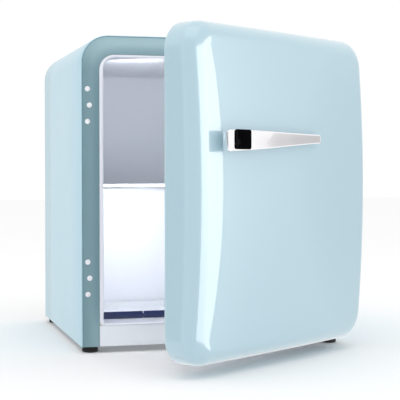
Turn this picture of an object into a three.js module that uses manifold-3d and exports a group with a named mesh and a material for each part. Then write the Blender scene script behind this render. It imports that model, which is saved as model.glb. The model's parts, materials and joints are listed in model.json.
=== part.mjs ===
// Tabletop refrigerator with one crowned door, standing open on its right-hand hinges.
// Millimetres, +Z up, front of the cabinet towards -Y. The frame's origin is the centre of the
// footprint on the floor.
import * as THREE from "three";
import { mergeVertices } from "three/addons/utils/BufferGeometryUtils.js";
import Module from "manifold-3d";

const wasm = await Module();
wasm.setup();

// ---- driving dimensions -------------------------------------------------------------------
const WIDTH = 445;
const DEPTH = 430;
const FOOT_HEIGHT = 10;
const CABINET_TOP = 510;
const TOP_RADIUS = 44;
const SHEET = 1.5;
const GAP = 0.3;

const FRAME_WIDTH = 29;
const LINER_WALL = 2;
const CAVITY_HALF = WIDTH / 2 - 36;
const CAVITY_FLOOR = 46;
const CAVITY_TOP = 475;
const CAVITY_BACK = 398;
const CAVITY_RADIUS = 19;
const HUMP_FRONT = 215;
const HUMP_TOP = 262;
const BAY_FRONT = 243;
const BAY_TOP = 206;
const SHELF_TOP = 270;
const SHELF_THICKNESS = 4;
const SHELF_FRONT = 100;

const DOOR_BOTTOM = 17;
const DOOR_TOP = 506;
const DOOR_GAP = 6;
const DOOR_EDGE_DEPTH = 51;
const DOOR_EDGE_ROUND = 24;
const DOOR_CORNER = 43;
const CROWN_ACROSS = 8;
const CROWN_UP = 12.5;
const DOOR_SKIN = 2;
const DOOR_OPEN_DEG = 35.6;
const HINGE_INSET = 12;
const HINGE_FORWARD = 21;

const LEVER_LEFT = -183.5;
const LEVER_RIGHT = 53;
const LEVER_Z = 336;
const LEVER_FACE = 88;
const LEVER_RISE = 6;

const HALF = WIDTH / 2;
const HINGE_X = HALF - HINGE_INSET;
const DOOR_MIDDLE = (DOOR_BOTTOM + DOOR_TOP) / 2;
const DOOR_HEIGHT = DOOR_TOP - DOOR_BOTTOM;
const INNER_HALF = HALF - SHEET - GAP;

// ---- materials ----------------------------------------------------------------------------
const finish = (color, roughness, metalness) =>
  new THREE.MeshStandardMaterial({ color, roughness, metalness });
const PALE_BLUE = finish(0xc5dfe9, 0.3, 0.1);
const SHADE_BLUE = finish(0x9dbcc8, 0.4, 0.1);
const WHITE = finish(0xf2f5fa, 0.35, 0.0);
const CAP_WHITE = finish(0xffffff, 0.4, 0.0);
const BLACK_RUBBER = finish(0x151515, 0.8, 0.0);
const GREY_RUBBER = finish(0xd9dde0, 0.7, 0.0);
const CHROME = finish(0xf2f2f4, 0.1, 1.0);
const GLOSS_BLACK = finish(0x050507, 0.1, 0.0);
const GALVANISED = finish(0xa8adb0, 0.45, 0.9);
const BLACK_STEEL = finish(0x1c1d1f, 0.45, 0.3);
const COPPER = finish(0xb06a43, 0.35, 1.0);
const ALUMINIUM = finish(0xc9ccce, 0.4, 0.9);
const FOAM = finish(0xe8dfb8, 0.95, 0.0);
const GLASS = finish(0xdff0f0, 0.05, 0.0);
const SMOKED = finish(0x2c3550, 0.2, 0.0);
const STEEL = finish(0xb9bcbf, 0.3, 1.0);
const NATURAL_PLASTIC = finish(0xd8d8d2, 0.5, 0.0);

// ---- solids -------------------------------------------------------------------------------
function solidOf(geometry) {
  const bare = geometry.index ? geometry.toNonIndexed() : geometry.clone();
  bare.deleteAttribute("normal");
  bare.deleteAttribute("uv");
  const merged = mergeVertices(bare, 1e-4);
  const vertProperties = merged.attributes.position.array;
  const triVerts = new Uint32Array(merged.index.array);
  return new wasm.Manifold(new wasm.Mesh({ numProp: 3, vertProperties, triVerts }));
}

function geometryOf(solid) {
  const mesh = solid.getMesh();
  const geometry = new THREE.BufferGeometry();
  geometry.setAttribute("position", new THREE.BufferAttribute(mesh.vertProperties, 3));
  geometry.setIndex(new THREE.BufferAttribute(mesh.triVerts, 1));
  return geometry;
}

// A box from its lowest to its highest corner.
function block(x0, x1, y0, y1, z0, z1) {
  const box = new THREE.BoxGeometry(x1 - x0, y1 - y0, z1 - z0);
  box.translate((x0 + x1) / 2, (y0 + y1) / 2, (z0 + z1) / 2);
  return box;
}

// An outline in X and Z, centred on x = 0, with its own top and bottom corner radii.
function outline(half, z0, z1, topRadius, bottomRadius = 0) {
  const shape = new THREE.Shape();
  shape.moveTo(-half + bottomRadius, z0);
  shape.lineTo(half - bottomRadius, z0);
  if (bottomRadius) shape.absarc(half - bottomRadius, z0 + bottomRadius, bottomRadius, -Math.PI / 2, 0);
  shape.lineTo(half, z1 - topRadius);
  shape.absarc(half - topRadius, z1 - topRadius, topRadius, 0, Math.PI / 2);
  shape.lineTo(-half + topRadius, z1);
  shape.absarc(-half + topRadius, z1 - topRadius, topRadius, Math.PI / 2, Math.PI);
  shape.lineTo(-half, z0 + bottomRadius);
  if (bottomRadius) {
    shape.absarc(-half + bottomRadius, z0 + bottomRadius, bottomRadius, Math.PI, 1.5 * Math.PI);
  }
  return shape;
}

// The outline carried from y0 back to y1.
function prism(shape, y0, y1) {
  const slab = new THREE.ExtrudeGeometry(shape, { depth: y1 - y0, bevelEnabled: false, curveSegments: 6 });
  slab.rotateX(Math.PI / 2);
  slab.translate(0, y1, 0);
  return slab;
}

// A round bar along "y" or "z", from its low end.
function rod(axis, x, y, z, radius, length, sides = 16) {
  const bar = new THREE.CylinderGeometry(radius, radius, length, sides);
  bar.translate(0, length / 2, 0);
  if (axis === "z") bar.rotateX(Math.PI / 2);
  bar.translate(x, y, z);
  return bar;
}

// A turned piece about +Z from its [radius, height] profile, in order from the bottom up.
function turned(profile, sides = 20) {
  const lathe = new THREE.LatheGeometry(profile.map(([r, h]) => new THREE.Vector2(r, h)), sides);
  lathe.rotateX(Math.PI / 2);
  return lathe;
}

// A round tube along a smooth curve through its points.
function tube(points, radius, steps, sides = 8) {
  const section = new THREE.Shape();
  section.absarc(0, 0, radius, 0, 2 * Math.PI);
  const path = new THREE.CatmullRomCurve3(points.map((p) => new THREE.Vector3(...p)), false, "centripetal");
  return new THREE.ExtrudeGeometry(section, {
    steps,
    bevelEnabled: false,
    curveSegments: sides,
    extrudePath: path,
  });
}

// A closed skin through rings of equal count; the first and last rings close to a point each.
function loft(rings) {
  const count = rings[0].length;
  const lathe = new THREE.LatheGeometry(rings.map((_, i) => new THREE.Vector2(1, i)), count);
  const place = lathe.attributes.position;
  for (let i = 0; i <= count; i += 1) {
    rings.forEach((ring, j) => place.setXYZ(i * rings.length + j, ...ring[i % count]));
  }
  return lathe;
}

const group = new THREE.Group();
const door = new THREE.Group();

function put(parent, name, material, geometry) {
  const mesh = new THREE.Mesh(geometry, material);
  mesh.name = name;
  parent.add(mesh);
}

// ---- cabinet: wrapped steel shell, front frame, bottom rail --------------------------------
// Cutting solids run this far past the faces they cut.
const PAST = 1;
const shellOutside = prism(outline(HALF, FOOT_HEIGHT, CABINET_TOP, TOP_RADIUS), 0, DEPTH);
const shellInside = prism(
  outline(HALF - SHEET, 0, CABINET_TOP - SHEET, TOP_RADIUS - SHEET),
  -PAST,
  DEPTH + PAST,
);
const shell = solidOf(shellOutside).subtract(solidOf(shellInside));
put(group, "cabinet_shell", PALE_BLUE, geometryOf(shell));

const innerTop = CABINET_TOP - SHEET - GAP;
const innerRadius = TOP_RADIUS - SHEET - GAP;
const FRAME_FRONT = 0.3;
const FRAME_BACK = 2.3;
const openingHalf = HALF - FRAME_WIDTH;
const openingTop = CAVITY_TOP + 4.7;
const frameOutside = prism(outline(INNER_HALF, FOOT_HEIGHT, innerTop, innerRadius), FRAME_FRONT, FRAME_BACK);
const OPENING_RADIUS = CAVITY_RADIUS + 6;
const frameOpening = prism(outline(openingHalf, 0, openingTop, OPENING_RADIUS), -PAST, FRAME_BACK + PAST);
put(group, "front_frame", SHADE_BLUE, geometryOf(solidOf(frameOutside).subtract(solidOf(frameOpening))));

const RAIL_TOP = CAVITY_FLOOR - LINER_WALL - GAP;
const RAIL_FRONT = 2 * GAP;
const railHalf = openingHalf - GAP;
put(
  group,
  "bottom_rail",
  WHITE,
  block(-railHalf, railHalf, RAIL_FRONT, RAIL_FRONT + 2, FOOT_HEIGHT + GAP, RAIL_TOP),
);

// ---- liner: vacuum-formed tub with a step over the compressor and ledges for the shelf ------
const FLOOR_RADIUS = 6;
const LIP_BACK = 2.4;
const tubOutside = solidOf(
  prism(
    outline(
      CAVITY_HALF + LINER_WALL,
      CAVITY_FLOOR - LINER_WALL,
      CAVITY_TOP + LINER_WALL,
      CAVITY_RADIUS + LINER_WALL,
      FLOOR_RADIUS + LINER_WALL,
    ),
    LIP_BACK - 0.2,
    CAVITY_BACK + LINER_WALL,
  ),
).subtract(solidOf(block(-HALF, HALF, HUMP_FRONT + LINER_WALL, DEPTH, 0, HUMP_TOP - LINER_WALL)));
const cavity = solidOf(
  prism(outline(CAVITY_HALF, CAVITY_FLOOR, CAVITY_TOP, CAVITY_RADIUS, FLOOR_RADIUS), -PAST, CAVITY_BACK),
).subtract(solidOf(block(-HALF, HALF, HUMP_FRONT, DEPTH, 0, HUMP_TOP)));
const lip = solidOf(
  prism(
    outline(
      openingHalf - GAP,
      CAVITY_FLOOR - LINER_WALL,
      openingTop - GAP,
      OPENING_RADIUS - GAP,
      FLOOR_RADIUS,
    ),
    0,
    LIP_BACK,
  ),
);
const LEDGE = 7;
const LEDGE_HEIGHT = 5;
const LEDGE_FRONT = SHELF_FRONT + 12;
const shelfUnderside = SHELF_TOP - SHELF_THICKNESS;
const ledgeFor = (side) => {
  const ends = [side * (CAVITY_HALF + 1), side * (CAVITY_HALF - LEDGE)];
  const ledge = block(
    Math.min(...ends),
    Math.max(...ends),
    LEDGE_FRONT,
    CAVITY_BACK + 1,
    shelfUnderside - LEDGE_HEIGHT,
    shelfUnderside - GAP,
  );
  return solidOf(ledge);
};
const liner = tubOutside.add(lip).subtract(cavity).add(ledgeFor(-1)).add(ledgeFor(1));
put(group, "inner_liner", WHITE, geometryOf(liner));

// ---- foam, evaporator behind the liner, condenser tube along the left side -----------------
const EVAPORATOR_HALF = 150;
const evaporatorFront = CAVITY_BACK + LINER_WALL + 0.4;
const evaporatorBack = evaporatorFront + 1.5;
const EVAPORATOR_BOTTOM = 262;
const EVAPORATOR_TOP = 448;
put(
  group,
  "evaporator_plate",
  ALUMINIUM,
  block(
    -EVAPORATOR_HALF,
    EVAPORATOR_HALF,
    evaporatorFront,
    evaporatorBack,
    EVAPORATOR_BOTTOM,
    EVAPORATOR_TOP,
  ),
);

const COIL_RADIUS = 2.3;
const coilX = -(HALF - SHEET - 0.6 - COIL_RADIUS);
const coilPath = [[coilX, 300, 180], [coilX, 300, 215]];
const COIL_LEVELS = [240, 290, 340, 390, 440];
COIL_LEVELS.forEach((level, i) => {
  const near = i % 2 ? 60 : 380;
  const far = i % 2 ? 380 : 60;
  const start = i === 0 ? 320 : near;
  coilPath.push([coilX, start, level], [coilX, (start + far) / 2, level], [coilX, far, level]);
  if (i < COIL_LEVELS.length - 1) coilPath.push([coilX, far + (i % 2 ? 25 : -25), level + 25]);
});
put(group, "condenser_coil", BLACK_STEEL, tube(coilPath, COIL_RADIUS, 64, 4));

const PANEL_FRONT = DEPTH - 3;
const foamOutside = solidOf(
  prism(outline(INNER_HALF, FOOT_HEIGHT + 2.4, innerTop, innerRadius), 3, PANEL_FRONT - GAP),
);
const tubGap = LINER_WALL + 0.4;
const stepGap = LINER_WALL + GAP;
const tubClearance = solidOf(
  prism(
    outline(
      CAVITY_HALF + tubGap,
      CAVITY_FLOOR - tubGap,
      CAVITY_TOP + tubGap,
      CAVITY_RADIUS + tubGap,
      FLOOR_RADIUS + LINER_WALL,
    ),
    -PAST,
    CAVITY_BACK + stepGap,
  ),
).subtract(solidOf(block(-HALF, HALF, HUMP_FRONT + stepGap, DEPTH, 0, HUMP_TOP - stepGap)));
const baySpace = solidOf(block(-HALF, HALF, BAY_FRONT - GAP, DEPTH + PAST, 0, BAY_TOP + GAP));
const coilSpace = solidOf(block(-HALF, coilX + COIL_RADIUS + 0.7, 20, 412, 0, 468));
const coilKeep = solidOf(block(-HALF, HALF, 0, 290, 0, 225));
const evaporatorSpace = solidOf(
  block(
    -EVAPORATOR_HALF - 2,
    EVAPORATOR_HALF + 2,
    CAVITY_BACK,
    evaporatorBack + 0.5,
    EVAPORATOR_BOTTOM - 2,
    EVAPORATOR_TOP + 2,
  ),
);
const foam = foamOutside
  .subtract(tubClearance)
  .subtract(baySpace)
  .subtract(coilSpace.subtract(coilKeep))
  .subtract(evaporatorSpace);
put(group, "insulation_foam", FOAM, geometryOf(foam));

// ---- back and base -------------------------------------------------------------------------
const panelOutline = outline(INNER_HALF, BAY_TOP + 0.8, innerTop, innerRadius);
put(group, "rear_panel", GALVANISED, prism(panelOutline, PANEL_FRONT, PANEL_FRONT + SHEET));

// The base plate carries the cord's inlet gland in a clamp at its back edge.
const BASE_TOP = FOOT_HEIGHT + 2;
const CLAMP_X = 176;
const CLAMP_HALF = 14;
const CORD_Z = 32;
const GLAND_RADIUS = 9;
const GLAND_START = 404;
const basePlate = solidOf(block(-INNER_HALF, INNER_HALF, 3, DEPTH - 2, FOOT_HEIGHT + GAP, BASE_TOP));
const clampBody = solidOf(
  block(
    CLAMP_X - CLAMP_HALF,
    CLAMP_X + CLAMP_HALF,
    GLAND_START + 4,
    GLAND_START + 20,
    BASE_TOP - 1,
    CORD_Z + CLAMP_HALF,
  ),
);
const clampHole = solidOf(rod("y", CLAMP_X, GLAND_START - 4, CORD_Z, GLAND_RADIUS + 0.4, 40));
put(group, "base_plate", GALVANISED, geometryOf(basePlate.add(clampBody).subtract(clampHole)));
put(group, "cord_gland", BLACK_RUBBER, rod("y", CLAMP_X, GLAND_START, CORD_Z, GLAND_RADIUS, 24));

const bayWall = solidOf(block(-INNER_HALF, INNER_HALF, BAY_FRONT, BAY_FRONT + 1, BASE_TOP + GAP, BAY_TOP));
const bayRoof = solidOf(block(coilX + 4, INNER_HALF, BAY_FRONT, PANEL_FRONT - 1, BAY_TOP - 1, BAY_TOP));
put(group, "bay_cover", GALVANISED, geometryOf(bayWall.add(bayRoof)));

// ---- compressor and its fittings, in the bay at the lower back ------------------------------
const COMPRESSOR_X = 60;
const COMPRESSOR_Y = 338;
const GROMMET_HEIGHT = 7;
const bracketBottom = BASE_TOP + GAP + GROMMET_HEIGHT + GAP;
const BRACKET_THICKNESS = 2.5;
const domeBottom = bracketBottom + BRACKET_THICKNESS + GAP;
const domeProfile = [
  [0, 0], [40, 0], [54, 6], [61, 20], [62, 55], [64, 60], [64, 66], [62, 70], [60, 95], [50, 117], [30, 129],
  [0, 133],
];
const dome = turned(domeProfile, 24);
dome.translate(COMPRESSOR_X, COMPRESSOR_Y, domeBottom);
put(group, "compressor", BLACK_STEEL, dome);
put(
  group,
  "compressor_bracket",
  BLACK_STEEL,
  block(
    COMPRESSOR_X - 85,
    COMPRESSOR_X + 85,
    COMPRESSOR_Y - 55,
    COMPRESSOR_Y + 55,
    bracketBottom,
    bracketBottom + BRACKET_THICKNESS,
  ),
);
let number = 0;
for (const dx of [-72, 72]) {
  for (const dy of [-42, 42]) {
    number += 1;
    const waist = [[9, 2.5], [6.5, 3.5], [9, 4.5]];
    const grommet = turned([[0, 0], [9, 0], ...waist, [9, GROMMET_HEIGHT], [0, GROMMET_HEIGHT]], 12);
    grommet.translate(COMPRESSOR_X + dx, COMPRESSOR_Y + dy, BASE_TOP + GAP);
    put(group, `compressor_grommet_${number}`, BLACK_RUBBER, grommet);
  }
}
const boxLeft = COMPRESSOR_X + 65;
put(
  group,
  "terminal_box",
  BLACK_RUBBER,
  block(boxLeft, boxLeft + 30, COMPRESSOR_Y - 28, COMPRESSOR_Y + 28, domeBottom + 35, domeBottom + 90),
);

const PAN_HALF = [65, 53];
const PAN_HEIGHT = 26;
const PAN_WALL = 2;
const panBottom = domeBottom + 134;
function panBlock(inward, low, high) {
  const [halfX, halfY] = PAN_HALF.map((half) => half - inward);
  const [x, y] = [COMPRESSOR_X, COMPRESSOR_Y];
  return solidOf(block(x - halfX, x + halfX, y - halfY, y + halfY, low, high));
}
const panOutside = panBlock(0, panBottom, panBottom + PAN_HEIGHT);
const panInside = panBlock(PAN_WALL, panBottom + PAN_WALL, panBottom + PAN_HEIGHT + PAST);
put(group, "evaporation_pan", BLACK_STEEL, geometryOf(panOutside.subtract(panInside)));

const dischargePath = [
  [-5.5, 338, 92], [-40, 338, 92], [-90, 330, 80], [-150, 312, 80], [-190, 303, 110], [coilX + 12, 300, 150],
  [coilX + 6, 300, 172],
];
put(group, "discharge_pipe", COPPER, tube(dischargePath, 3, 30, 4));

const suctionPath = [[-6.5, 352, 115], [-30, 362, 120], [-60, 382, 140], [-68, 396, 175], [-68, 398, 203]];
put(group, "suction_pipe", COPPER, tube(suctionPath, 3.5, 20, 4));

const dryer = turned([[0, 0], [2.5, 0], [3.5, 8], [9, 16], [9, 78], [3.5, 88], [2.5, 96], [0, 96]], 16);
dryer.rotateY(0.35);
dryer.translate(-150, 396, 60);
put(group, "filter_dryer", COPPER, dryer);

// ---- inside: shelf, low tray, thermostat ----------------------------------------------------
const SHELF_HALF = CAVITY_HALF - 2.5;
put(
  group,
  "shelf_glass",
  GLASS,
  block(-SHELF_HALF, SHELF_HALF, SHELF_FRONT, CAVITY_BACK - 4, shelfUnderside, SHELF_TOP),
);
put(
  group,
  "shelf_trim",
  WHITE,
  block(-SHELF_HALF, SHELF_HALF, SHELF_FRONT - 5, SHELF_FRONT - GAP, shelfUnderside - 0.8, SHELF_TOP + 0.8),
);

const TRAY_FRONT = 66;
const TRAY_BACK = 208;
const TRAY_TOP = CAVITY_FLOOR + 12;
const trayOutside = solidOf(
  block(-SHELF_HALF + 4, SHELF_HALF - 4, TRAY_FRONT, TRAY_BACK, CAVITY_FLOOR + GAP, TRAY_TOP),
);
const trayInside = solidOf(
  block(-SHELF_HALF + 6, SHELF_HALF - 6, TRAY_FRONT + 2, TRAY_BACK - 2, CAVITY_FLOOR + 2.3, TRAY_TOP + 5),
);
put(group, "drip_tray", WHITE, geometryOf(trayOutside.subtract(trayInside)));
put(
  group,
  "tray_front_trim",
  SMOKED,
  block(-SHELF_HALF + 4, SHELF_HALF - 4, TRAY_FRONT - 3, TRAY_FRONT - GAP, CAVITY_FLOOR + GAP, TRAY_TOP),
);

const HOUSING_DEPTH = 26;
const housingRight = CAVITY_HALF - GAP;
const housingLeft = housingRight - HOUSING_DEPTH;
put(group, "thermostat_housing", WHITE, block(housingLeft, housingRight, 190, 280, 392, 448));
const knob = turned([[0, 0], [18, 0], [17.4, 3], [16, 12], [14.5, 14], [0, 14]], 24);
const knobBar = solidOf(block(-15, 15, -2.5, 2.5, 13, 17));
const knobGeometry = geometryOf(solidOf(knob).add(knobBar));
knobGeometry.rotateY(-Math.PI / 2);
const KNOB_Y = 235;
const KNOB_Z = 420;
knobGeometry.translate(housingLeft - 0.4, KNOB_Y, KNOB_Z);
put(group, "thermostat_knob", NATURAL_PLASTIC, knobGeometry);

// ---- feet -----------------------------------------------------------------------------------
const FOOT_X = HALF - 16.5;
const FOOT_Y = [19, DEPTH - 30];
const FOOT_NAMES = [["foot_front_left", "foot_front_right"], ["foot_rear_left", "foot_rear_right"]];
FOOT_NAMES.forEach((row, end) => {
  row.forEach((name, side) => {
    const pad = [[12, 0], [13, 1.5], [13, 6.5]];
    const foot = turned([[0, 0], ...pad, [6, 8], [6, FOOT_HEIGHT], [0, FOOT_HEIGHT]], 18);
    foot.translate(side ? FOOT_X : -FOOT_X, FOOT_Y[end], 0);
    put(group, name, BLACK_RUBBER, foot);
  });
});

// ---- plug caps over the spare hinge holes on the left, hinges and screws on the right -------
const SCREW_INSETS = [10, 13, 10];
const LOWER_SCREWS = [95, 121, 147];
const UPPER_SCREWS = [372, 398, 424];
const FASTENER_ROWS = [["lower", LOWER_SCREWS], ["upper", UPPER_SCREWS]];
const PLATE_THICKNESS = 1.5;
for (const [level, heights] of FASTENER_ROWS) {
  heights.forEach((height, i) => {
    const cap = turned([[0, 0], [4.3, 0], [4.1, 0.8], [3, 1.2], [0, 1.3]], 20);
    cap.rotateX(Math.PI / 2);
    cap.translate(-HALF + SCREW_INSETS[i], 0, height);
    put(group, `plug_cap_${level}_${i + 1}`, CAP_WHITE, cap);
    const screw = turned([[0, 0], [3.5, 0], [3.2, 0.7], [2, 1], [0, 1]], 16);
    screw.rotateX(Math.PI / 2);
    screw.translate(HALF - SCREW_INSETS[i], -PLATE_THICKNESS - GAP, height);
    put(group, `hinge_screw_${level}_${i + 1}`, STEEL, screw);
  });
}

const ARM_THICKNESS = 4;
const PIN_RADIUS = 3;
const PIN_LENGTH = 16;
const HINGES = [
  { level: "lower", low: 84, high: 158, armBottom: 84, up: 1 },
  { level: "upper", low: 361, high: 435, armBottom: 431, up: -1 },
];
// The free face of each arm, where its pin starts, and the span the pin takes from there.
for (const hinge of HINGES) {
  hinge.face = hinge.up > 0 ? hinge.armBottom + ARM_THICKNESS : hinge.armBottom;
  const pinStart = hinge.face + hinge.up * GAP;
  const pinEnd = pinStart + hinge.up * PIN_LENGTH;
  hinge.pinLow = Math.min(pinStart, pinEnd);
  hinge.bushLow = hinge.up > 0 ? hinge.pinLow + 2 : hinge.pinLow + 1;
}
const BUSH_LENGTH = PIN_LENGTH - 3;
for (const hinge of HINGES) {
  const plate = solidOf(block(HALF - 19, HALF - 3, -PLATE_THICKNESS, 0, hinge.low, hinge.high));
  const arm = solidOf(
    block(HINGE_X - 6, HINGE_X + 6, -HINGE_FORWARD, -0.5, hinge.armBottom, hinge.armBottom + ARM_THICKNESS),
  );
  const eye = solidOf(rod("z", HINGE_X, -HINGE_FORWARD, hinge.armBottom, 6, ARM_THICKNESS, 20));
  put(group, `hinge_bracket_${hinge.level}`, CHROME, geometryOf(plate.add(arm).add(eye)));
  put(
    group,
    `hinge_pin_${hinge.level}`,
    STEEL,
    rod("z", HINGE_X, -HINGE_FORWARD, hinge.pinLow, PIN_RADIUS, PIN_LENGTH, 16),
  );
}

// ---- door: built shut, then turned open about its hinge axis --------------------------------
// One ring of the door: the rounded outline drawn in by an inset, at a depth in front of its back.
function doorRing(inset, depth) {
  const half = HALF - inset;
  const halfHeight = DOOR_HEIGHT / 2 - inset;
  const radius = Math.max(DOOR_CORNER - inset, 1);
  const corners = [[1, 1, 0], [-1, 1, 90], [-1, -1, 180], [1, -1, 270]];
  const flat = [];
  corners.forEach(([sx, sz, start], c) => {
    for (let step = 0; step <= 5; step += 1) {
      const angle = THREE.MathUtils.degToRad(start + step * 18);
      const x = sx * (half - radius) + radius * Math.cos(angle);
      flat.push([x, sz * (halfHeight - radius) + radius * Math.sin(angle)]);
    }
    const [x0, z0] = flat[flat.length - 1];
    const [nx, nz] = corners[(c + 1) % 4];
    const x1 = c % 2 ? nx * half : nx * (half - radius);
    const z1 = c % 2 ? nz * (halfHeight - radius) : nz * halfHeight;
    for (let step = 1; step <= 5; step += 1) {
      flat.push([x0 + ((x1 - x0) * step) / 6, z0 + ((z1 - z0) * step) / 6]);
    }
  });
  return flat.map(([x, z]) => crowned(x, depth, z));
}

// A point of the door with the crown of its face added, in proportion to its depth.
function crowned(x, depth, z) {
  const across = CROWN_ACROSS * (1 - (x / HALF) ** 2);
  const up = CROWN_UP * (1 - (z / (DOOR_HEIGHT / 2)) ** 2);
  return [x, -DOOR_GAP - depth - (depth / DOOR_EDGE_DEPTH) * (across + up), DOOR_MIDDLE + z];
}

// The door's whole outer form, drawn in all over by a thickness.
function doorForm(inward, back) {
  const round = DOOR_EDGE_ROUND;
  const front = DOOR_EDGE_DEPTH - round;
  const count = 44;
  const backRadius = back < 0 ? 0 : 4;
  const rings = [Array(count).fill(crowned(0, back, 0))];
  rings.push(doorRing(inward + backRadius, back));
  if (backRadius) {
    rings.push(doorRing(inward + 0.3 * backRadius, back + 0.3 * backRadius));
    rings.push(doorRing(inward, back + backRadius));
  }
  for (let step = 0; step <= 5; step += 1) {
    const angle = (step * Math.PI) / 10;
    const reach = round - inward;
    rings.push(doorRing(inward + reach * (1 - Math.cos(angle)), front + reach * Math.sin(angle)));
  }
  const face = DOOR_EDGE_DEPTH - inward;
  for (const inset of [75, 130, 185]) rings.push(doorRing(inset, face));
  rings.push(Array(count).fill(crowned(0, face, 0)));
  return loft(rings);
}

// The space in the door's right edge where each hinge arm swings, and the hole for its bush.
const ARM_CLEARANCE = 1.5;
const armSpaces = HINGES.map((hinge) =>
  solidOf(
    block(
      HINGE_X - 8,
      HALF + 10,
      -HINGE_FORWARD - 12,
      -3,
      hinge.armBottom - ARM_CLEARANCE,
      hinge.armBottom + ARM_THICKNESS + ARM_CLEARANCE,
    ),
  ),
);
const bushHoles = HINGES.map((hinge) =>
  solidOf(rod("z", HINGE_X, -HINGE_FORWARD, hinge.pinLow - 2, 5, PIN_LENGTH + 4, 16)),
);

let skin = solidOf(doorForm(0, 0)).subtract(solidOf(doorForm(DOOR_SKIN, -2)));
let core = solidOf(doorForm(DOOR_SKIN + 0.4, -2)).intersect(
  solidOf(block(-HALF, HALF, -200, -DOOR_GAP - 3.4, 0, CABINET_TOP)),
);
const RIB_HALF = 180;
const RIB_BOTTOM = 54;
const RIB_TOP = 467;
const RIB = 12;
const RIB_REACH = 28;
const PLATE_INSET = 4.6;
const PLATE_RADIUS = DOOR_CORNER - 5;
let innerPanel = solidOf(
  prism(
    outline(
      HALF - PLATE_INSET,
      DOOR_BOTTOM + PLATE_INSET,
      DOOR_TOP - PLATE_INSET,
      PLATE_RADIUS,
      PLATE_RADIUS,
    ),
    -DOOR_GAP - 3,
    -DOOR_GAP,
  ),
);
const ribOutside = solidOf(prism(outline(RIB_HALF, RIB_BOTTOM, RIB_TOP, 18, 18), -DOOR_GAP - 1, RIB_REACH));
const ribInside = solidOf(
  prism(outline(RIB_HALF - RIB, RIB_BOTTOM + RIB, RIB_TOP - RIB, 8, 8), -DOOR_GAP, RIB_REACH + 1),
);
innerPanel = innerPanel.add(ribOutside.subtract(ribInside));
for (const space of armSpaces) {
  skin = skin.subtract(space);
  core = core.subtract(space);
  innerPanel = innerPanel.subtract(space);
}
for (const hole of bushHoles) core = core.subtract(hole);
put(door, "door_skin", PALE_BLUE, geometryOf(skin));
put(door, "door_foam", FOAM, geometryOf(core));
put(door, "door_liner", WHITE, geometryOf(innerPanel));

const SEAL = 7.2;
const SEAL_BOTTOM = 38;
const SEAL_TOP = openingTop + 1.8;
const sealOutside = solidOf(
  prism(
    outline(openingHalf + GAP + SEAL, SEAL_BOTTOM - SEAL, SEAL_TOP + SEAL, 30, 12),
    -DOOR_GAP + GAP,
    -0.5,
  ),
);
const sealInside = solidOf(
  prism(outline(openingHalf + GAP, SEAL_BOTTOM, SEAL_TOP, 30 - SEAL, 12 - SEAL), -DOOR_GAP - 4, PAST),
);
put(door, "door_gasket", GREY_RUBBER, geometryOf(sealOutside.subtract(sealInside)));

// Open-topped racks clipped between the liner's ribs. Their fronts bow out between shallow ends.
const RACKS = [
  { name: "rack_lower", bottom: 72, height: 74, reach: 80 },
  { name: "rack_middle", bottom: 205, height: 56, reach: 62 },
  { name: "rack_upper", bottom: 340, height: 56, reach: 62 },
];
const RACK_HALF = RIB_HALF - RIB - 0.5;
const RACK_WALL = 2.5;
const RACK_END = 33;
function rackForm(inward, reach, low, high) {
  const [half, back, end] = [RACK_HALF - inward, -DOOR_GAP + GAP + inward, RACK_END - inward];
  const front = reach - inward;
  const plan = new THREE.Shape();
  plan.moveTo(-half, back);
  plan.lineTo(half, back);
  plan.lineTo(half, end);
  plan.quadraticCurveTo(half - 40, front, half - 70, front);
  plan.lineTo(-half + 70, front);
  plan.quadraticCurveTo(-half + 40, front, -half, end);
  const slab = new THREE.ExtrudeGeometry(plan, { depth: high - low, bevelEnabled: false, curveSegments: 5 });
  slab.translate(0, 0, low);
  return solidOf(slab);
}
for (const { name, bottom, height, reach } of RACKS) {
  const outside = rackForm(0, reach, bottom, bottom + height);
  const inside = rackForm(RACK_WALL, reach, bottom + RACK_WALL, bottom + height + 1);
  put(door, name, WHITE, geometryOf(outside.subtract(inside)));
}

for (const hinge of HINGES) {
  const [inner, outer] = [PIN_RADIUS + 0.2, 4.6];
  const bush = turned([[inner, 0], [outer, 0], [outer, BUSH_LENGTH], [inner, BUSH_LENGTH], [inner, 0]], 24);
  bush.translate(HINGE_X, -HINGE_FORWARD, hinge.bushLow);
  put(door, `hinge_bush_${hinge.level}`, NATURAL_PLASTIC, bush);
}

// ---- handle: tapered chrome lever cast with its two posts, and a black inlay at its grip end -
// Stations along the lever: fraction of its length, front face depth, thickness, height.
const STATIONS = [
  [0, 88, 12, 29], [0.01, 88, 12, 30.5], [0.24, 88, 11.5, 28.5], [0.45, 87, 10, 24.5], [0.65, 85.4, 8, 20],
  [0.85, 83.2, 6.2, 16], [0.99, 81.2, 5, 14], [1, 81.2, 5, 13],
];
const leverY = (depth) => -DOOR_GAP - depth;
const leverRings = STATIONS.map(([along, face, thickness, height]) => {
  const x = LEVER_LEFT + along * (LEVER_RIGHT - LEVER_LEFT);
  const bevel = 1.6;
  const [front, back] = [leverY(face), leverY(face - thickness)];
  const middleZ = LEVER_Z + LEVER_RISE * along;
  const [top, low] = [middleZ + height / 2, middleZ - height / 2];
  return [
    [x, front + bevel, low], [x, back - bevel, low], [x, back, low + bevel], [x, back, top - bevel],
    [x, back - bevel, top], [x, front + bevel, top], [x, front, top - bevel], [x, front, low + bevel],
  ];
});
const endPoint = (ring) => {
  const sum = ring.reduce((total, p) => total.map((value, i) => value + p[i]), [0, 0, 0]);
  return Array(ring.length).fill(sum.map((value) => value / ring.length));
};
leverRings.unshift(endPoint(leverRings[0]));
leverRings.push(endPoint(leverRings[leverRings.length - 1]));
let lever = solidOf(loft(leverRings));

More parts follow.
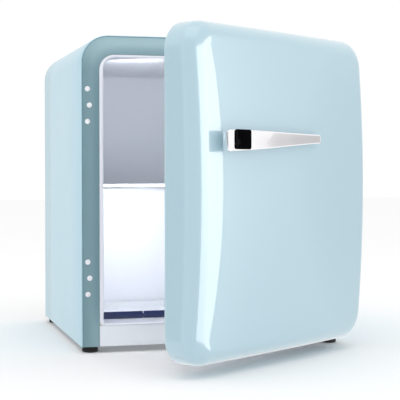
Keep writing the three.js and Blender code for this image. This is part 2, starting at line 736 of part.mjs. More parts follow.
const INLAY = { x: -153.5, half: 18.5, halfHeight: 14, radius: 3.5, stand: 1.5, rise: 2 };
const inlay = prism(
  outline(INLAY.half, -INLAY.halfHeight, INLAY.halfHeight, INLAY.radius, INLAY.radius),
  leverY(LEVER_FACE + INLAY.stand),
  leverY(LEVER_FACE + GAP),
);
inlay.translate(INLAY.x, 0, LEVER_Z + INLAY.rise);
put(door, "handle_inlay", GLOSS_BLACK, inlay);

const doorSolid = solidOf(doorForm(-0.3, 0));
const POSTS = [
  { x: -110, radius: 7 },
  { x: 12, radius: 5 },
];
for (const post of POSTS) {
  const along = (post.x - LEVER_LEFT) / (LEVER_RIGHT - LEVER_LEFT);
  const bar = solidOf(rod("y", post.x, leverY(78), LEVER_Z + LEVER_RISE * along, post.radius, 30, 20));
  lever = lever.add(bar.subtract(doorSolid));
}
put(door, "handle_lever", CHROME, geometryOf(lever));

// ---- assembly -------------------------------------------------------------------------------
const hingeLine = new THREE.Group();
hingeLine.position.set(HINGE_X, -HINGE_FORWARD, 0);
hingeLine.rotation.z = THREE.MathUtils.degToRad(DOOR_OPEN_DEG);
door.position.set(-HINGE_X, HINGE_FORWARD, 0);
hingeLine.add(door);
group.add(hingeLine);

const bounds = new THREE.Box3().setFromObject(group, true);
const middle = bounds.getCenter(new THREE.Vector3());
group.position.set(-middle.x, -middle.y, 0);

export default group;
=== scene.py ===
import json
import math

import bmesh
import bpy
from mathutils import Matrix, Vector


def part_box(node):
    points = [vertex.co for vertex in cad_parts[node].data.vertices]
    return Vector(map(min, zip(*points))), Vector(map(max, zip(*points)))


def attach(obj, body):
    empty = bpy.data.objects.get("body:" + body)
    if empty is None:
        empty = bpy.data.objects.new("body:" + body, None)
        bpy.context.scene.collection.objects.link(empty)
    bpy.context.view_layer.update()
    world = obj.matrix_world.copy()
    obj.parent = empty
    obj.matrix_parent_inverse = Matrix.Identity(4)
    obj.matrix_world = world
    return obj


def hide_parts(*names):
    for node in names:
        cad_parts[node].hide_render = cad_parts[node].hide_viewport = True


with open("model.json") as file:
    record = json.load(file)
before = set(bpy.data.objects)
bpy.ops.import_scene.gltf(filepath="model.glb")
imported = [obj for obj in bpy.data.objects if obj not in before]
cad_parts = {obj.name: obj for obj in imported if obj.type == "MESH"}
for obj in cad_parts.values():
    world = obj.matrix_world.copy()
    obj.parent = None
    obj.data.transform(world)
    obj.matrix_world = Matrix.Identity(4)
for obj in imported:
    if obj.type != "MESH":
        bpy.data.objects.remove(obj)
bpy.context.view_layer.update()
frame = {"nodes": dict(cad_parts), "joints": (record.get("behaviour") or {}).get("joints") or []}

# ---- Viewpoint. The refrigerator is seen from its left front, from about the height of its middle.
# Every piece is drawn in millimetres from the middle of the cabinet's front edge on the floor, and
# set into the frame by `cabinet`.
MM = 0.001
shell_low, shell_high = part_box("cabinet_shell")
cabinet = Matrix.Translation(((shell_low.x + shell_high.x) / 2, shell_low.y, 0)) @ Matrix.Scale(MM, 4)

STAND_POINT = (-538.0, -1896.0, 299.5)
LOOK_DOWN_DEG = 1.585
LOOK_RIGHT_DEG = 15.1
viewer = bpy.data.objects.new("viewer", bpy.data.cameras.new("viewer"))
viewer.location = cabinet @ Vector(STAND_POINT)
viewer.rotation_euler = (math.radians(90 - LOOK_DOWN_DEG), 0, math.radians(-LOOK_RIGHT_DEG))
viewer.data.lens = 107.78
viewer.data.sensor_width = 36
bpy.context.scene.collection.objects.link(viewer)
bpy.context.scene.camera = viewer

# ---- Studio. A pale seamless floor, even white surroundings, a broad lamp overhead for the soft
# shadow round the feet, and a tall lamp at the right that draws a bright strip down the door.
studio = bpy.data.worlds.new("studio")
studio.use_nodes = True
room = studio.node_tree
surroundings = room.nodes["Background"]
surroundings.inputs["Color"].default_value = (1.0, 1.0, 1.0, 1)
bpy.context.scene.world = studio
bpy.context.scene.view_settings.view_transform = "Standard"
ROOM_LIGHT = 1.02
heading = room.nodes.new("ShaderNodeTexCoord").outputs["Generated"]


def dim_part(towards, inner_deg, outer_deg, share):
    """How much one part of the room takes from the even light, round the direction towards."""
    along = room.nodes.new("ShaderNodeVectorMath")
    along.operation = "DOT_PRODUCT"
    along.inputs[1].default_value = Vector(towards).normalized()
    room.links.new(heading, along.inputs[0])
    fall = room.nodes.new("ShaderNodeMapRange")
    fall.interpolation_type = "SMOOTHSTEP"
    fall.inputs["From Min"].default_value = math.cos(math.radians(outer_deg))
    fall.inputs["From Max"].default_value = math.cos(math.radians(inner_deg))
    fall.inputs["To Max"].default_value = share
    room.links.new(along.outputs["Value"], fall.inputs["Value"])
    return fall.outputs["Result"]


# The room is darker in front, where no lamp stands, and in narrow parts at the far left and right.
level_left = ROOM_LIGHT
DIM_PARTS = [
    dim_part((-0.35, -0.94, 0.05), 20, 62, 0.22),
    dim_part((-1.0, 0.08, 0.0), 9, 21, 0.66),
    dim_part((0.963, 0.27, 0.0), 13.4, 13.5, 0.15),
    dim_part((0.978, 0.208, 0.0), 3, 12, 0.27),
]
for part in DIM_PARTS:
    taking = room.nodes.new("ShaderNodeMath")
    taking.operation = "SUBTRACT"
    if isinstance(level_left, float):
        taking.inputs[0].default_value = level_left
    else:
        room.links.new(level_left, taking.inputs[0])
    room.links.new(part, taking.inputs[1])
    level_left = taking.outputs[0]
room.links.new(level_left, surroundings.inputs["Strength"])


STRIP_PLACE = (1.52, -1.98, 0.23)
STRIP_AIM = (-0.01, -0.40, 0.23)


def lamp(name, place, aim, width, height, watts, diffuse=True):
    """A soft rectangular lamp at place, in metres, facing aim."""
    light = bpy.data.lights.new(name, "AREA")
    light.shape = "RECTANGLE"
    light.size = width
    light.size_y = height
    light.energy = watts
    box = bpy.data.objects.new(name, light)
    box.location = place
    box.rotation_euler = (Vector(aim) - Vector(place)).to_track_quat("-Z", "Y").to_euler()
    box.visible_camera = False
    box.visible_diffuse = diffuse
    bpy.context.scene.collection.objects.link(box)
    return box


lamp("overhead_lamp", (-0.5, -0.9, 2.6), (0, 0, 0.2), 2.4, 2.0, 10)
lamp("strip_lamp", STRIP_PLACE, STRIP_AIM, 3.42, 2.22, 108, diffuse=False)
CAVITY_LAMPS = [
    ("low", (-105, 25, 245), (-110, 215, 190), 0.26),
    ("high", (-150, 20, 440), (130, 330, 330), 0.2),
]
for level, place, aim, watts in CAVITY_LAMPS:
    glow = lamp(f"cavity_lamp_{level}", cabinet @ Vector(place), cabinet @ Vector(aim), 0.05, 0.05, watts)
    glow.visible_glossy = False

FLOOR_SPREAD = 9.0
floor_mesh = bmesh.new()
bmesh.ops.create_grid(floor_mesh, x_segments=8, y_segments=8, size=FLOOR_SPREAD)
floor_data = bpy.data.meshes.new("studio_floor")
floor_mesh.to_mesh(floor_data)
studio_floor = bpy.data.objects.new("studio_floor", floor_data)
bpy.context.scene.collection.objects.link(studio_floor)
studio_floor.visible_glossy = False
floor_paper = bpy.data.materials.new("floor_paper")
floor_paper.use_nodes = True
paper = floor_paper.node_tree.nodes["Principled BSDF"]
paper.inputs["Base Color"].default_value = (0.97, 0.97, 0.97, 1)
paper.inputs["Roughness"].default_value = 0.9
paper.inputs["Specular IOR Level"].default_value = 0.1
floor_data.materials.append(floor_paper)

# ---- Cabinet shell. One sheet of steel wrapped over the sides and the top, with its front edge
# hemmed back on itself, coated in pale blue satin powder paint.
HALF = (shell_high.x - shell_low.x) / 2 / MM
DEPTH = (shell_high.y - shell_low.y) / MM
SHELL_BOTTOM = shell_low.z / MM
CABINET_TOP = shell_high.z / MM
TOP_RADIUS = 44
SHEET = 1.5
GAP = 0.3


def spread(group, sockets):
    """Names the inputs and outputs of a shader group: (name, side, kind, value)."""
    for name, side, kind, value in sockets:
        socket = group.interface.new_socket(name=name, in_out=side, socket_type=kind)
        if value is not None:
            socket.default_value = value


def wire(tree, *pairs):
    for start, end in pairs:
        tree.links.new(start, end)


def calculator(tree, operation, first, second=None, clamp=False):
    """A Math node; each operand is a socket or a number."""
    node = tree.nodes.new("ShaderNodeMath")
    node.operation = operation
    node.use_clamp = clamp
    for place, value in enumerate((first, second)):
        if isinstance(value, (int, float)):
            node.inputs[place].default_value = value
        elif value is not None:
            tree.links.new(value, node.inputs[place])
    return node.outputs[0]


def noise(tree, vector, scale, detail=3.0):
    node = tree.nodes.new("ShaderNodeTexNoise")
    node.inputs["Detail"].default_value = detail
    tree.links.new(vector, node.inputs["Vector"])
    if isinstance(scale, (int, float)):
        node.inputs["Scale"].default_value = scale
    else:
        tree.links.new(scale, node.inputs["Scale"])
    return node.outputs["Fac"]


# Edges that hands and cloths rub: found where the surface turns sharply, broken up by noise.
edge_wear = bpy.data.node_groups.new("Edge wear", "ShaderNodeTree")
spread(edge_wear, [
    ("Vector", "INPUT", "NodeSocketVector", None),
    ("Width", "INPUT", "NodeSocketFloat", 0.001),
    ("Amount", "INPUT", "NodeSocketFloat", 0.5),
    ("Mask", "OUTPUT", "NodeSocketFloat", None),
])
inward = edge_wear.nodes.new("NodeGroupInput")
outward = edge_wear.nodes.new("NodeGroupOutput")
rounding = edge_wear.nodes.new("ShaderNodeBevel")
rounding.samples = 4
facing = edge_wear.nodes.new("ShaderNodeNewGeometry")
agreement = edge_wear.nodes.new("ShaderNodeVectorMath")
agreement.operation = "DOT_PRODUCT"
wire(
    edge_wear,
    (inward.outputs["Width"], rounding.inputs["Radius"]),
    (rounding.outputs["Normal"], agreement.inputs[0]),
    (facing.outputs["Normal"], agreement.inputs[1]),
)
turn = calculator(edge_wear, "SUBTRACT", 1.0, agreement.outputs["Value"])
turn = calculator(edge_wear, "MULTIPLY", turn, 6.0, clamp=True)
patches = calculator(edge_wear, "SUBTRACT", noise(edge_wear, inward.outputs["Vector"], 90.0), 0.42)
patches = calculator(edge_wear, "MULTIPLY", patches, 5.0, clamp=True)
worn = calculator(edge_wear, "MULTIPLY", turn, patches)
worn = calculator(edge_wear, "MULTIPLY", worn, inward.outputs["Amount"])
wire(edge_wear, (worn, outward.inputs["Mask"]))

# Slow drift of tone and gloss over a surface, with a finer ripple inside it.
tone_drift = bpy.data.node_groups.new("Tone drift", "ShaderNodeTree")
spread(tone_drift, [
    ("Vector", "INPUT", "NodeSocketVector", None),
    ("Scale", "INPUT", "NodeSocketFloat", 6.0),
    ("Value", "OUTPUT", "NodeSocketFloat", None),
])
inward = tone_drift.nodes.new("NodeGroupInput")
outward = tone_drift.nodes.new("NodeGroupOutput")
broad = noise(tone_drift, inward.outputs["Vector"], inward.outputs["Scale"])
closer = calculator(tone_drift, "MULTIPLY", inward.outputs["Scale"], 9.0)
fine = noise(tone_drift, inward.outputs["Vector"], closer)
fine = calculator(tone_drift, "MULTIPLY", fine, 0.35)
broad = calculator(tone_drift, "MULTIPLY", broad, 0.65)
wire(tone_drift, (calculator(tone_drift, "ADD", broad, fine), outward.inputs["Value"]))

# Height of the fine skin of a surface: orange peel in paint, grain in plastic, drawing lines in metal.
surface_grain = bpy.data.node_groups.new("Surface grain", "ShaderNodeTree")
spread(surface_grain, [
    ("Vector", "INPUT", "NodeSocketVector", None),
    ("Stretch", "INPUT", "NodeSocketVector", (1.0, 1.0, 1.0)),
    ("Scale", "INPUT", "NodeSocketFloat", 500.0),
    ("Height", "OUTPUT", "NodeSocketFloat", None),
])
inward = surface_grain.nodes.new("NodeGroupInput")
outward = surface_grain.nodes.new("NodeGroupOutput")
drawn = surface_grain.nodes.new("ShaderNodeVectorMath")
drawn.operation = "MULTIPLY"
wire(
    surface_grain,
    (inward.outputs["Vector"], drawn.inputs[0]),
    (inward.outputs["Stretch"], drawn.inputs[1]),
)
ripple = noise(surface_grain, drawn.outputs["Vector"], inward.outputs["Scale"], 2.0)
wire(surface_grain, (ripple, outward.inputs["Height"]))

# Fine dust that settles on faces that look up.
settled_dust = bpy.data.node_groups.new("Settled dust", "ShaderNodeTree")
spread(settled_dust, [
    ("Vector", "INPUT", "NodeSocketVector", None),
    ("Amount", "INPUT", "NodeSocketFloat", 0.1),
    ("Mask", "OUTPUT", "NodeSocketFloat", None),
])
inward = settled_dust.nodes.new("NodeGroupInput")
outward = settled_dust.nodes.new("NodeGroupOutput")
lie = settled_dust.nodes.new("ShaderNodeNewGeometry")
upright = settled_dust.nodes.new("ShaderNodeSeparateXYZ")
wire(settled_dust, (lie.outputs["Normal"], upright.inputs[0]))
level = calculator(settled_dust, "SUBTRACT", upright.outputs["Z"], 0.6)
level = calculator(settled_dust, "MULTIPLY", level, 2.5, clamp=True)
specks = noise(settled_dust, inward.outputs["Vector"], 40.0, 6.0)
level = calculator(settled_dust, "MULTIPLY", level, specks)
level = calculator(settled_dust, "MULTIPLY", level, inward.outputs["Amount"])
wire(settled_dust, (level, outward.inputs["Mask"]))

DUST_TONE = (0.62, 0.60, 0.56, 1)


def placed(tree, group, vector, **values):
    """A group in a material, fed with the surface's own coordinates and its own values."""
    node = tree.nodes.new("ShaderNodeGroup")
    node.node_tree = group
    tree.links.new(vector, node.inputs["Vector"])
    for name, value in values.items():
        node.inputs[name].default_value = value
    return node.outputs[0]


def mixed(tree, factor, first, second):
    """One colour over another by a mask; each is a socket or a colour."""
    node = tree.nodes.new("ShaderNodeMix")
    node.data_type = "RGBA"
    tree.links.new(factor, node.inputs[0])
    for socket, colour in ((node.inputs[6], first), (node.inputs[7], second)):
        if isinstance(colour, tuple):
            socket.default_value = colour
        else:
            tree.links.new(colour, socket)
    return node.outputs[2]


def linear(red, green, blue):
    """A colour given as on a paint card, 0 to 255, as scene light."""
    shares = [c / 255 for c in (red, green, blue)]
    return tuple(((c + 0.055) / 1.055) ** 2.4 if c > 10 / 255 else c / 12.92 for c in shares) + (1,)


def finish(
    name, card, roughness, metal=0.0, coat=0.0, coat_roughness=0.03, specular=0.5, drift=0.04,
    drift_scale=6.0, gloss_drift=0.08, wear=0.3,
    wear_width=0.0008, worn_card=None, grain=500.0, grain_depth=0.00001,
    stretch=(1, 1, 1), dust=0.05,
):
    """A finish from its paint-card colour, with drift of tone, rubbed edges, fine grain and dust."""
    material = bpy.data.materials.new(name)
    material.use_nodes = True
    tree = material.node_tree
    surface = tree.nodes["Principled BSDF"]
    place = tree.nodes.new("ShaderNodeTexCoord").outputs["Object"]
    base = linear(*card)
    shade = tuple(c * (1 - drift) for c in base[:3]) + (1,)
    rubbed = linear(*worn_card) if worn_card else tuple(min(1, c * 1.12 + 0.02) for c in base[:3]) + (1,)
    tone = placed(tree, tone_drift, place, Scale=drift_scale)
    worn_mask = placed(tree, edge_wear, place, Width=wear_width, Amount=wear)
    dust_mask = placed(tree, settled_dust, place, Amount=dust)
    colour = mixed(tree, tone, base, shade)
    colour = mixed(tree, worn_mask, colour, rubbed)
    colour = mixed(tree, dust_mask, colour, DUST_TONE)
    tree.links.new(colour, surface.inputs["Base Color"])
    swing = calculator(tree, "SUBTRACT", tone, 0.5)
    swing = calculator(tree, "MULTIPLY", swing, gloss_drift * 2)
    rough = calculator(tree, "ADD", swing, roughness)
    rough = calculator(tree, "ADD", rough, calculator(tree, "MULTIPLY", worn_mask, 0.15), clamp=True)
    tree.links.new(rough, surface.inputs["Roughness"])
    bump = tree.nodes.new("ShaderNodeBump")
    bump.inputs["Distance"].default_value = grain_depth
    tree.links.new(placed(tree, surface_grain, place, Stretch=stretch, Scale=grain), bump.inputs["Height"])
    tree.links.new(bump.outputs["Normal"], surface.inputs["Normal"])
    surface.inputs["Metallic"].default_value = metal
    surface.inputs["Specular IOR Level"].default_value = specular
    surface.inputs["Coat Weight"].default_value = coat
    surface.inputs["Coat Roughness"].default_value = coat_roughness
    return material


def loft(loops, around=True, joined=False):
    """A closed skin through loops of equal count; joined runs the last loop back into the first."""
    skin = bmesh.new()
    rows = [[skin.verts.new(point) for point in loop] for loop in loops]
    count = len(loops[0])
    pairs = list(zip(rows, rows[1:])) + ([(rows[-1], rows[0])] if joined else [])
    for row, following in pairs:
        for i in range(count if around else count - 1):
            j = (i + 1) % count
            skin.faces.new((row[i], row[j], following[j], following[i]))
    if around and not joined:
        skin.faces.new(rows[0])
        skin.faces.new(rows[-1])
    if joined and not around:
        skin.faces.new([row[0] for row in rows])
        skin.faces.new([row[-1] for row in rows])
    bmesh.ops.remove_doubles(skin, verts=skin.verts, dist=1e-3)
    bmesh.ops.recalc_face_normals(skin, faces=skin.faces)
    return skin


def piece(name, skin, place, material, body, nodes, crease=40):
    """Sets a skin into the frame as a named piece that rides on its body."""
    skin.transform(place)
    data = bpy.data.meshes.new(name)
    skin.to_mesh(data)
    skin.free()
    data.materials.append(material)
    data.shade_smooth()
    data.set_sharp_from_angle(angle=math.radians(crease))
    thing = bpy.data.objects.new(name, data)
    bpy.context.scene.collection.objects.link(thing)
    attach(thing, body)
    if nodes:
        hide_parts(*nodes)
    return thing


def arc(x, z, radius, start, end, steps):
    """Points along an arc in X and Z, angles in degrees."""
    turn_by = (end - start) / steps
    angles = [math.radians(start + turn_by * i) for i in range(steps + 1)]
    return [(x + radius * math.cos(a), z + radius * math.sin(a)) for a in angles]


def between(first, last, steps):
    """Points strictly between two others."""
    shares = [i / steps for i in range(1, steps)]
    return [(first[0] + (last[0] - first[0]) * s, first[1] + (last[1] - first[1]) * s) for s in shares]


def ring(half, low, high, top_radius, bottom_radius=None, corner_steps=14, side_steps=8):
    """A rounded rectangle in X and Z, centred on X = 0."""
    top = max(top_radius, 0.02)
    bottom = max(top_radius if bottom_radius is None else bottom_radius, 0.02)
    corners = [
        arc(half - bottom, low + bottom, bottom, -90, 0, corner_steps),
        arc(half - top, high - top, top, 0, 90, corner_steps),
        arc(-half + top, high - top, top, 90, 180, corner_steps),
        arc(-half + bottom, low + bottom, bottom, 180, 270, corner_steps),
    ]
    points = []
    for corner, following in zip(corners, corners[1:] + corners[:1]):
        points += corner + between(corner[-1], following[0], side_steps)
    return points


def arch(half, low, high, radius, corner_steps=18, side_steps=10):
    """An upside-down U in X and Z, from its bottom right to its bottom left."""
    right = arc(half - radius, high - radius, radius, 0, 90, corner_steps)
    left = arc(-half + radius, high - radius, radius, 90, 180, corner_steps)
    start = [(half, low)] + between((half, low), right[0], side_steps)
    end = between(left[-1], (-half, low), side_steps) + [(-half, low)]
    return start + right + between(right[-1], left[0], side_steps) + left + end


def at_depth(points, y):
    return [(x, y, z) for x, z in points]


cabinet_paint = finish(
    "cabinet_paint", (163, 207, 224), 0.34, coat=0.35, coat_roughness=0.12, grain=900.0,
    grain_depth=0.000012, wear=0.35, worn_card=(226, 246, 252),
)
HEM = 0.75
shell_section = [(HEM * (1 - math.cos(a)), HEM * (1 - math.sin(a))) for a in
                 [math.radians(d) for d in range(0, 181, 20)]]
shell_section += [(SHEET, DEPTH - 0.2), (0.2, DEPTH), (0, DEPTH - 0.4)]
shell_section += [(0, DEPTH * share) for share in (0.75, 0.5, 0.25)]
shell_loops = [
    at_depth(arch(HALF - i, SHELL_BOTTOM, CABINET_TOP - i, TOP_RADIUS - i), y) for i, y in shell_section
]
piece(
    "steel_shell", loft(shell_loops, around=False, joined=True), cabinet, cabinet_paint, "cabinet",
    ["cabinet_shell"],
)

# ---- Front frame. A pressed steel face that closes the cabinet's front between the shell and the
# white liner, painted a deeper blue grey that also paints in the open door's shade, lighter towards the top
# as a painted highlight, with a softly rolled inner edge.
FRAME_WIDTH = 29
OPENING_HALF = HALF - FRAME_WIDTH
OPENING_TOP = 479.7
OPENING_RADIUS = 25
INNER_HALF = HALF - SHEET - GAP
# The frame's base colour is darker than the shell's paint partly as painted shade, standing in for the shade
# the open door casts on it.
frame_paint = finish(
    "frame_paint", (119, 154, 164), 0.38, coat=0.2, coat_roughness=0.15, grain=900.0, grain_depth=0.000012,
    wear=0.25, worn_card=(190, 214, 222),
)
# Painted highlight: the frame's colour turns lighter towards the top, standing in for the light reflected
# along the top of the frame.
PAINTED_TOP_LIGHT = (154, 187, 196)
frame_tree = frame_paint.node_tree
frame_place = frame_tree.nodes.new("ShaderNodeTexCoord").outputs["Object"]
frame_height = frame_tree.nodes.new("ShaderNodeSeparateXYZ")
painted_top_light_rise = frame_tree.nodes.new("ShaderNodeMapRange")
painted_top_light_rise.interpolation_type = "SMOOTHSTEP"
painted_top_light_rise.inputs["From Min"].default_value = (OPENING_TOP - 30) * MM
painted_top_light_rise.inputs["From Max"].default_value = CABINET_TOP * MM
frame_base = frame_tree.nodes["Principled BSDF"].inputs["Base Color"]
wire(
    frame_tree,
    (frame_place, frame_height.inputs[0]),
    (frame_height.outputs["Z"], painted_top_light_rise.inputs["Value"]),
)
plain_colour = frame_base.links[0].from_socket
frame_colour_with_painted_top_light = mixed(frame_tree, painted_top_light_rise.outputs["Result"], plain_colour, linear(*PAINTED_TOP_LIGHT))
wire(frame_tree, (frame_colour_with_painted_top_light, frame_base))
ROLL = 0.7
frame_section = [("out", 0.4, 2.3), ("out", 0.0, 1.9), ("out", 0.0, 0.3 + ROLL)]
frame_section += [("out", ROLL * (1 - math.cos(a)), 0.3 + ROLL * (1 - math.sin(a))) for a in
                  [math.radians(d) for d in (30, 60, 90)]]
frame_section += [("in", ROLL * (1 - math.cos(a)), 0.3 + ROLL * (1 - math.sin(a))) for a in
                  [math.radians(d) for d in (90, 60, 30, 0)]]
frame_section += [("in", 0.0, 1.9), ("in", 0.4, 2.3)]
frame_loops = []
for side, inset, y in frame_section:
    if side == "out":
        outer = arch(INNER_HALF - inset, SHELL_BOTTOM, CABINET_TOP - SHEET - GAP - inset, 42.2 - inset)
        frame_loops.append(at_depth(outer, y))
    else:
        inner = arch(OPENING_HALF + inset, SHELL_BOTTOM, OPENING_TOP + inset, OPENING_RADIUS + inset)
        frame_loops.append(at_depth(inner, y))
piece("front_face", loft(frame_loops, around=False, joined=True), cabinet, frame_paint, "cabinet",
      ["front_frame"])

# ---- Bottom rail. A white moulded strip that closes the frame's lower gap, under the liner's sill,
# with rounded edges and a shallow recessed panel.
rail_white = finish(
    "rail_white", (244, 249, 255), 0.3, coat=0.25, coat_roughness=0.1, grain=700.0, grain_depth=0.000008,
    wear=0.2, worn_card=(255, 255, 255), drift=0.02,
)


def plate(half, low, high, radius, front, back, rounding_by=0.6, recess=None):
    """A flat plate in X and Z with rounded front edges, and a panel set back in it if recess is
    (border, depth)."""
    steps = [math.radians(d) for d in (0, 30, 60, 90)]
    section = [(0.15, back), (0, back - 0.15)]
    section += [(rounding_by * (1 - math.cos(a)), front + rounding_by * (1 - math.sin(a))) for a in steps]
    if recess:
        border, sunk = recess
        section += [(border - sunk, front), (border, front + 0.3 * sunk), (border + sunk, front + sunk)]
    return loft([
        at_depth(ring(half - i, low + i, high - i, max(radius - i, 0.1), side_steps=6), y)
        for i, y in section
    ])


rail_low, rail_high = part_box("bottom_rail")
RAIL_HALF = (rail_high.x - rail_low.x) / 2 / MM
piece(
    "sill_rail",
    plate(RAIL_HALF, rail_low.z / MM, rail_high.z / MM, 0.8, 0.6, 2.6),
    cabinet, rail_white, "cabinet", ["bottom_rail"],
)

# ---- Liner. White polystyrene sheet vacuum-formed into a tub with rounded corners, a step over the
# compressor, a lip over the frame's inner edge, and a moulded ledge on each side for the shelf.
CAVITY_HALF = HALF - 36
CAVITY_FLOOR = 46
CAVITY_TOP = 475
CAVITY_BACK = 398
CAVITY_RADIUS = 19
STEP_FRONT = 215
STEP_TOP = 262
FLOOR_RADIUS = 6
liner_white = finish(
    "liner_white", (242, 245, 253), 0.28, coat=0.2, coat_roughness=0.1, grain=350.0, grain_depth=0.00001,
    wear=0.1, worn_card=(255, 255, 255), drift=0.012, gloss_drift=0.02,
)


def tub_ring(inset, y):
    """A loop of the tub, drawn in from its walls by inset."""
    points = ring(
        CAVITY_HALF - inset, CAVITY_FLOOR + inset, CAVITY_TOP - inset,
        max(CAVITY_RADIUS - inset * 0.6, 1), max(FLOOR_RADIUS - inset * 0.4, 1),
    )
    return at_depth(points, y)


LIP_HALF = OPENING_HALF - GAP
LIP_TOP = OPENING_TOP - GAP
LIP_BOTTOM = CAVITY_FLOOR - 2
tub_loops = [
    at_depth(ring(LIP_HALF, LIP_BOTTOM, LIP_TOP, OPENING_RADIUS - GAP, 6), 2.3),
    at_depth(ring(LIP_HALF, LIP_BOTTOM, LIP_TOP, OPENING_RADIUS - GAP, 6), 0.7),
    at_depth(ring(LIP_HALF - 0.2, LIP_BOTTOM + 0.2, LIP_TOP - 0.2, OPENING_RADIUS - 0.5, 6), 0.2),
    at_depth(ring(LIP_HALF - 0.7, LIP_BOTTOM + 0.5, LIP_TOP - 0.7, OPENING_RADIUS - 1, 6), 0.0),
]
MOUTH_ROUND = 3
for degrees in (90, 70, 50, 30, 10):
    angle = math.radians(degrees)
    flare = -MOUTH_ROUND * (1 - math.cos(angle)) * 0.45
    tub_loops.append(tub_ring(flare, MOUTH_ROUND * (1 - math.sin(angle))))
for share in (0.03, 0.2, 0.4, 0.6, 0.8):
    tub_loops.append(tub_ring(0, CAVITY_BACK * share))
BACK_ROUND = 7
for degrees in range(0, 91, 10):
    angle = math.radians(degrees)
    tub_loops.append(
        tub_ring(BACK_ROUND * (1 - math.cos(angle)), CAVITY_BACK - BACK_ROUND * (1 - math.sin(angle)))
    )
tub_loops.append(tub_ring(60, CAVITY_BACK))
outer_radius = CAVITY_RADIUS + 2
shell_half, shell_bottom, shell_top = CAVITY_HALF + 1.8, CAVITY_FLOOR - 1.8, CAVITY_TOP + 1.8
outer_loops = [
    at_depth(ring(shell_half, shell_bottom, shell_top, outer_radius, 8), 2.3),
    at_depth(ring(shell_half, shell_bottom, shell_top, outer_radius, 8), CAVITY_BACK + 1.8),
    at_depth(ring(shell_half - 40, shell_bottom + 60, shell_top - 60, 10), CAVITY_BACK + 1.8),
]
tub = loft(tub_loops[::-1] + outer_loops)


def swept(profile, half):
    """A solid with one profile in Y and Z, carried from -half to half."""
    skin = bmesh.new()
    ends = [[skin.verts.new((x, y, z)) for y, z in profile] for x in (-half, half)]
    for i in range(len(profile)):
        j = (i + 1) % len(profile)
        skin.faces.new((ends[0][i], ends[0][j], ends[1][j], ends[1][i]))
    skin.faces.new(ends[0])
    skin.faces.new(ends[1])
    bmesh.ops.recalc_face_normals(skin, faces=skin.faces)
    return skin


def join(skins):
    """Several skins as one."""
    whole = bmesh.new()
    for skin in skins:
        carrier = bpy.data.meshes.new("carrier")
        skin.to_mesh(carrier)
        skin.free()
        whole.from_mesh(carrier)
        bpy.data.meshes.remove(carrier)
    return whole


STEP_ROUND = 6
FOOT_ROUND = 8
step_profile = arc(STEP_FRONT - FOOT_ROUND, CAVITY_FLOOR + FOOT_ROUND, FOOT_ROUND, -90, 0, 6)
step_profile += arc(STEP_FRONT + STEP_ROUND, STEP_TOP - STEP_ROUND, STEP_ROUND, 180, 90, 10)
step_profile += [(CAVITY_BACK + 1, STEP_TOP), (CAVITY_BACK + 1, STEP_TOP - 2)]
step_profile += [(STEP_FRONT + 3, STEP_TOP - 16), (STEP_FRONT + 2, CAVITY_FLOOR - 1)]
step = swept(step_profile, CAVITY_HALF + 0.5)

SHELF_TOP = 270
SHELF_THICKNESS = 4
LEDGE = 7
LEDGE_HEIGHT = 5
LEDGE_FRONT = 112


def ledge(side):
    """A rounded moulded ledge on one wall."""
    low = SHELF_TOP - SHELF_THICKNESS - LEDGE_HEIGHT
    high = SHELF_TOP - SHELF_THICKNESS - GAP
    wall = CAVITY_HALF + 0.5
    profile = [(wall, low - 3), (CAVITY_HALF - 1, low - 2), (CAVITY_HALF - LEDGE + 2, low + 0.3)]
    profile += arc(CAVITY_HALF - LEDGE + 1.5, high - 1.5, 1.5, 180, 90, 4)
    profile += [(wall, high)]
    loops = []
    for inset, y in ((3, LEDGE_FRONT), (1, LEDGE_FRONT + 1), (0, LEDGE_FRONT + 4), (0, CAVITY_BACK)):
        loops.append([(side * max(x, CAVITY_HALF - LEDGE + inset), y, z) for x, z in profile])
    return loft(loops)


piece("liner_tub", join([tub, step, ledge(-1), ledge(1)]), cabinet, liner_white, "cabinet",
      ["inner_liner"])

# ---- Shelf. A clear tempered glass plate with polished edges, its front edge held in a white
# snap-on trim with a rounded nose.
shelf_glass = bpy.data.materials.new("shelf_glass")
shelf_glass.use_nodes = True
glass_tree = shelf_glass.node_tree
glass = glass_tree.nodes["Principled BSDF"]
glass.inputs["Transmission Weight"].default_value = 1.0
glass.inputs["IOR"].default_value = 1.5
glass_place = glass_tree.nodes.new("ShaderNodeTexCoord").outputs["Object"]
smears = placed(glass_tree, tone_drift, glass_place, Scale=9.0)
wire(
    glass_tree,
    (mixed(glass_tree, smears, (0.90, 0.97, 0.955, 1), (0.86, 0.95, 0.93, 1)), glass.inputs["Base Color"]),
    (calculator(glass_tree, "MULTIPLY", smears, 0.05), glass.inputs["Roughness"]),
)


def bar(x0, x1, y0, y1, z0, z1, rounding_by=1.0, segments=3):
    """A straight bar with rounded edges."""
    skin = bmesh.new()
    bmesh.ops.create_cube(skin, size=1)
    size = Vector((x1 - x0, y1 - y0, z1 - z0))
    middle = Vector((x0 + x1, y0 + y1, z0 + z1)) / 2
    bmesh.ops.transform(skin, matrix=Matrix.LocRotScale(middle, None, size), verts=skin.verts)
    if rounding_by:
        bmesh.ops.bevel(skin, geom=skin.edges[:], offset=rounding_by, segments=segments, profile=0.5,
                        affect="EDGES", clamp_overlap=True)
    return skin


def drawn_box(node):
    """A node's box at rest in the cabinet's millimetres: x0, x1, y0, y1, z0, z1."""
    low, high = (cabinet.inverted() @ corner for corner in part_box(node))
    return low.x, high.x, low.y, high.y, low.z, high.z


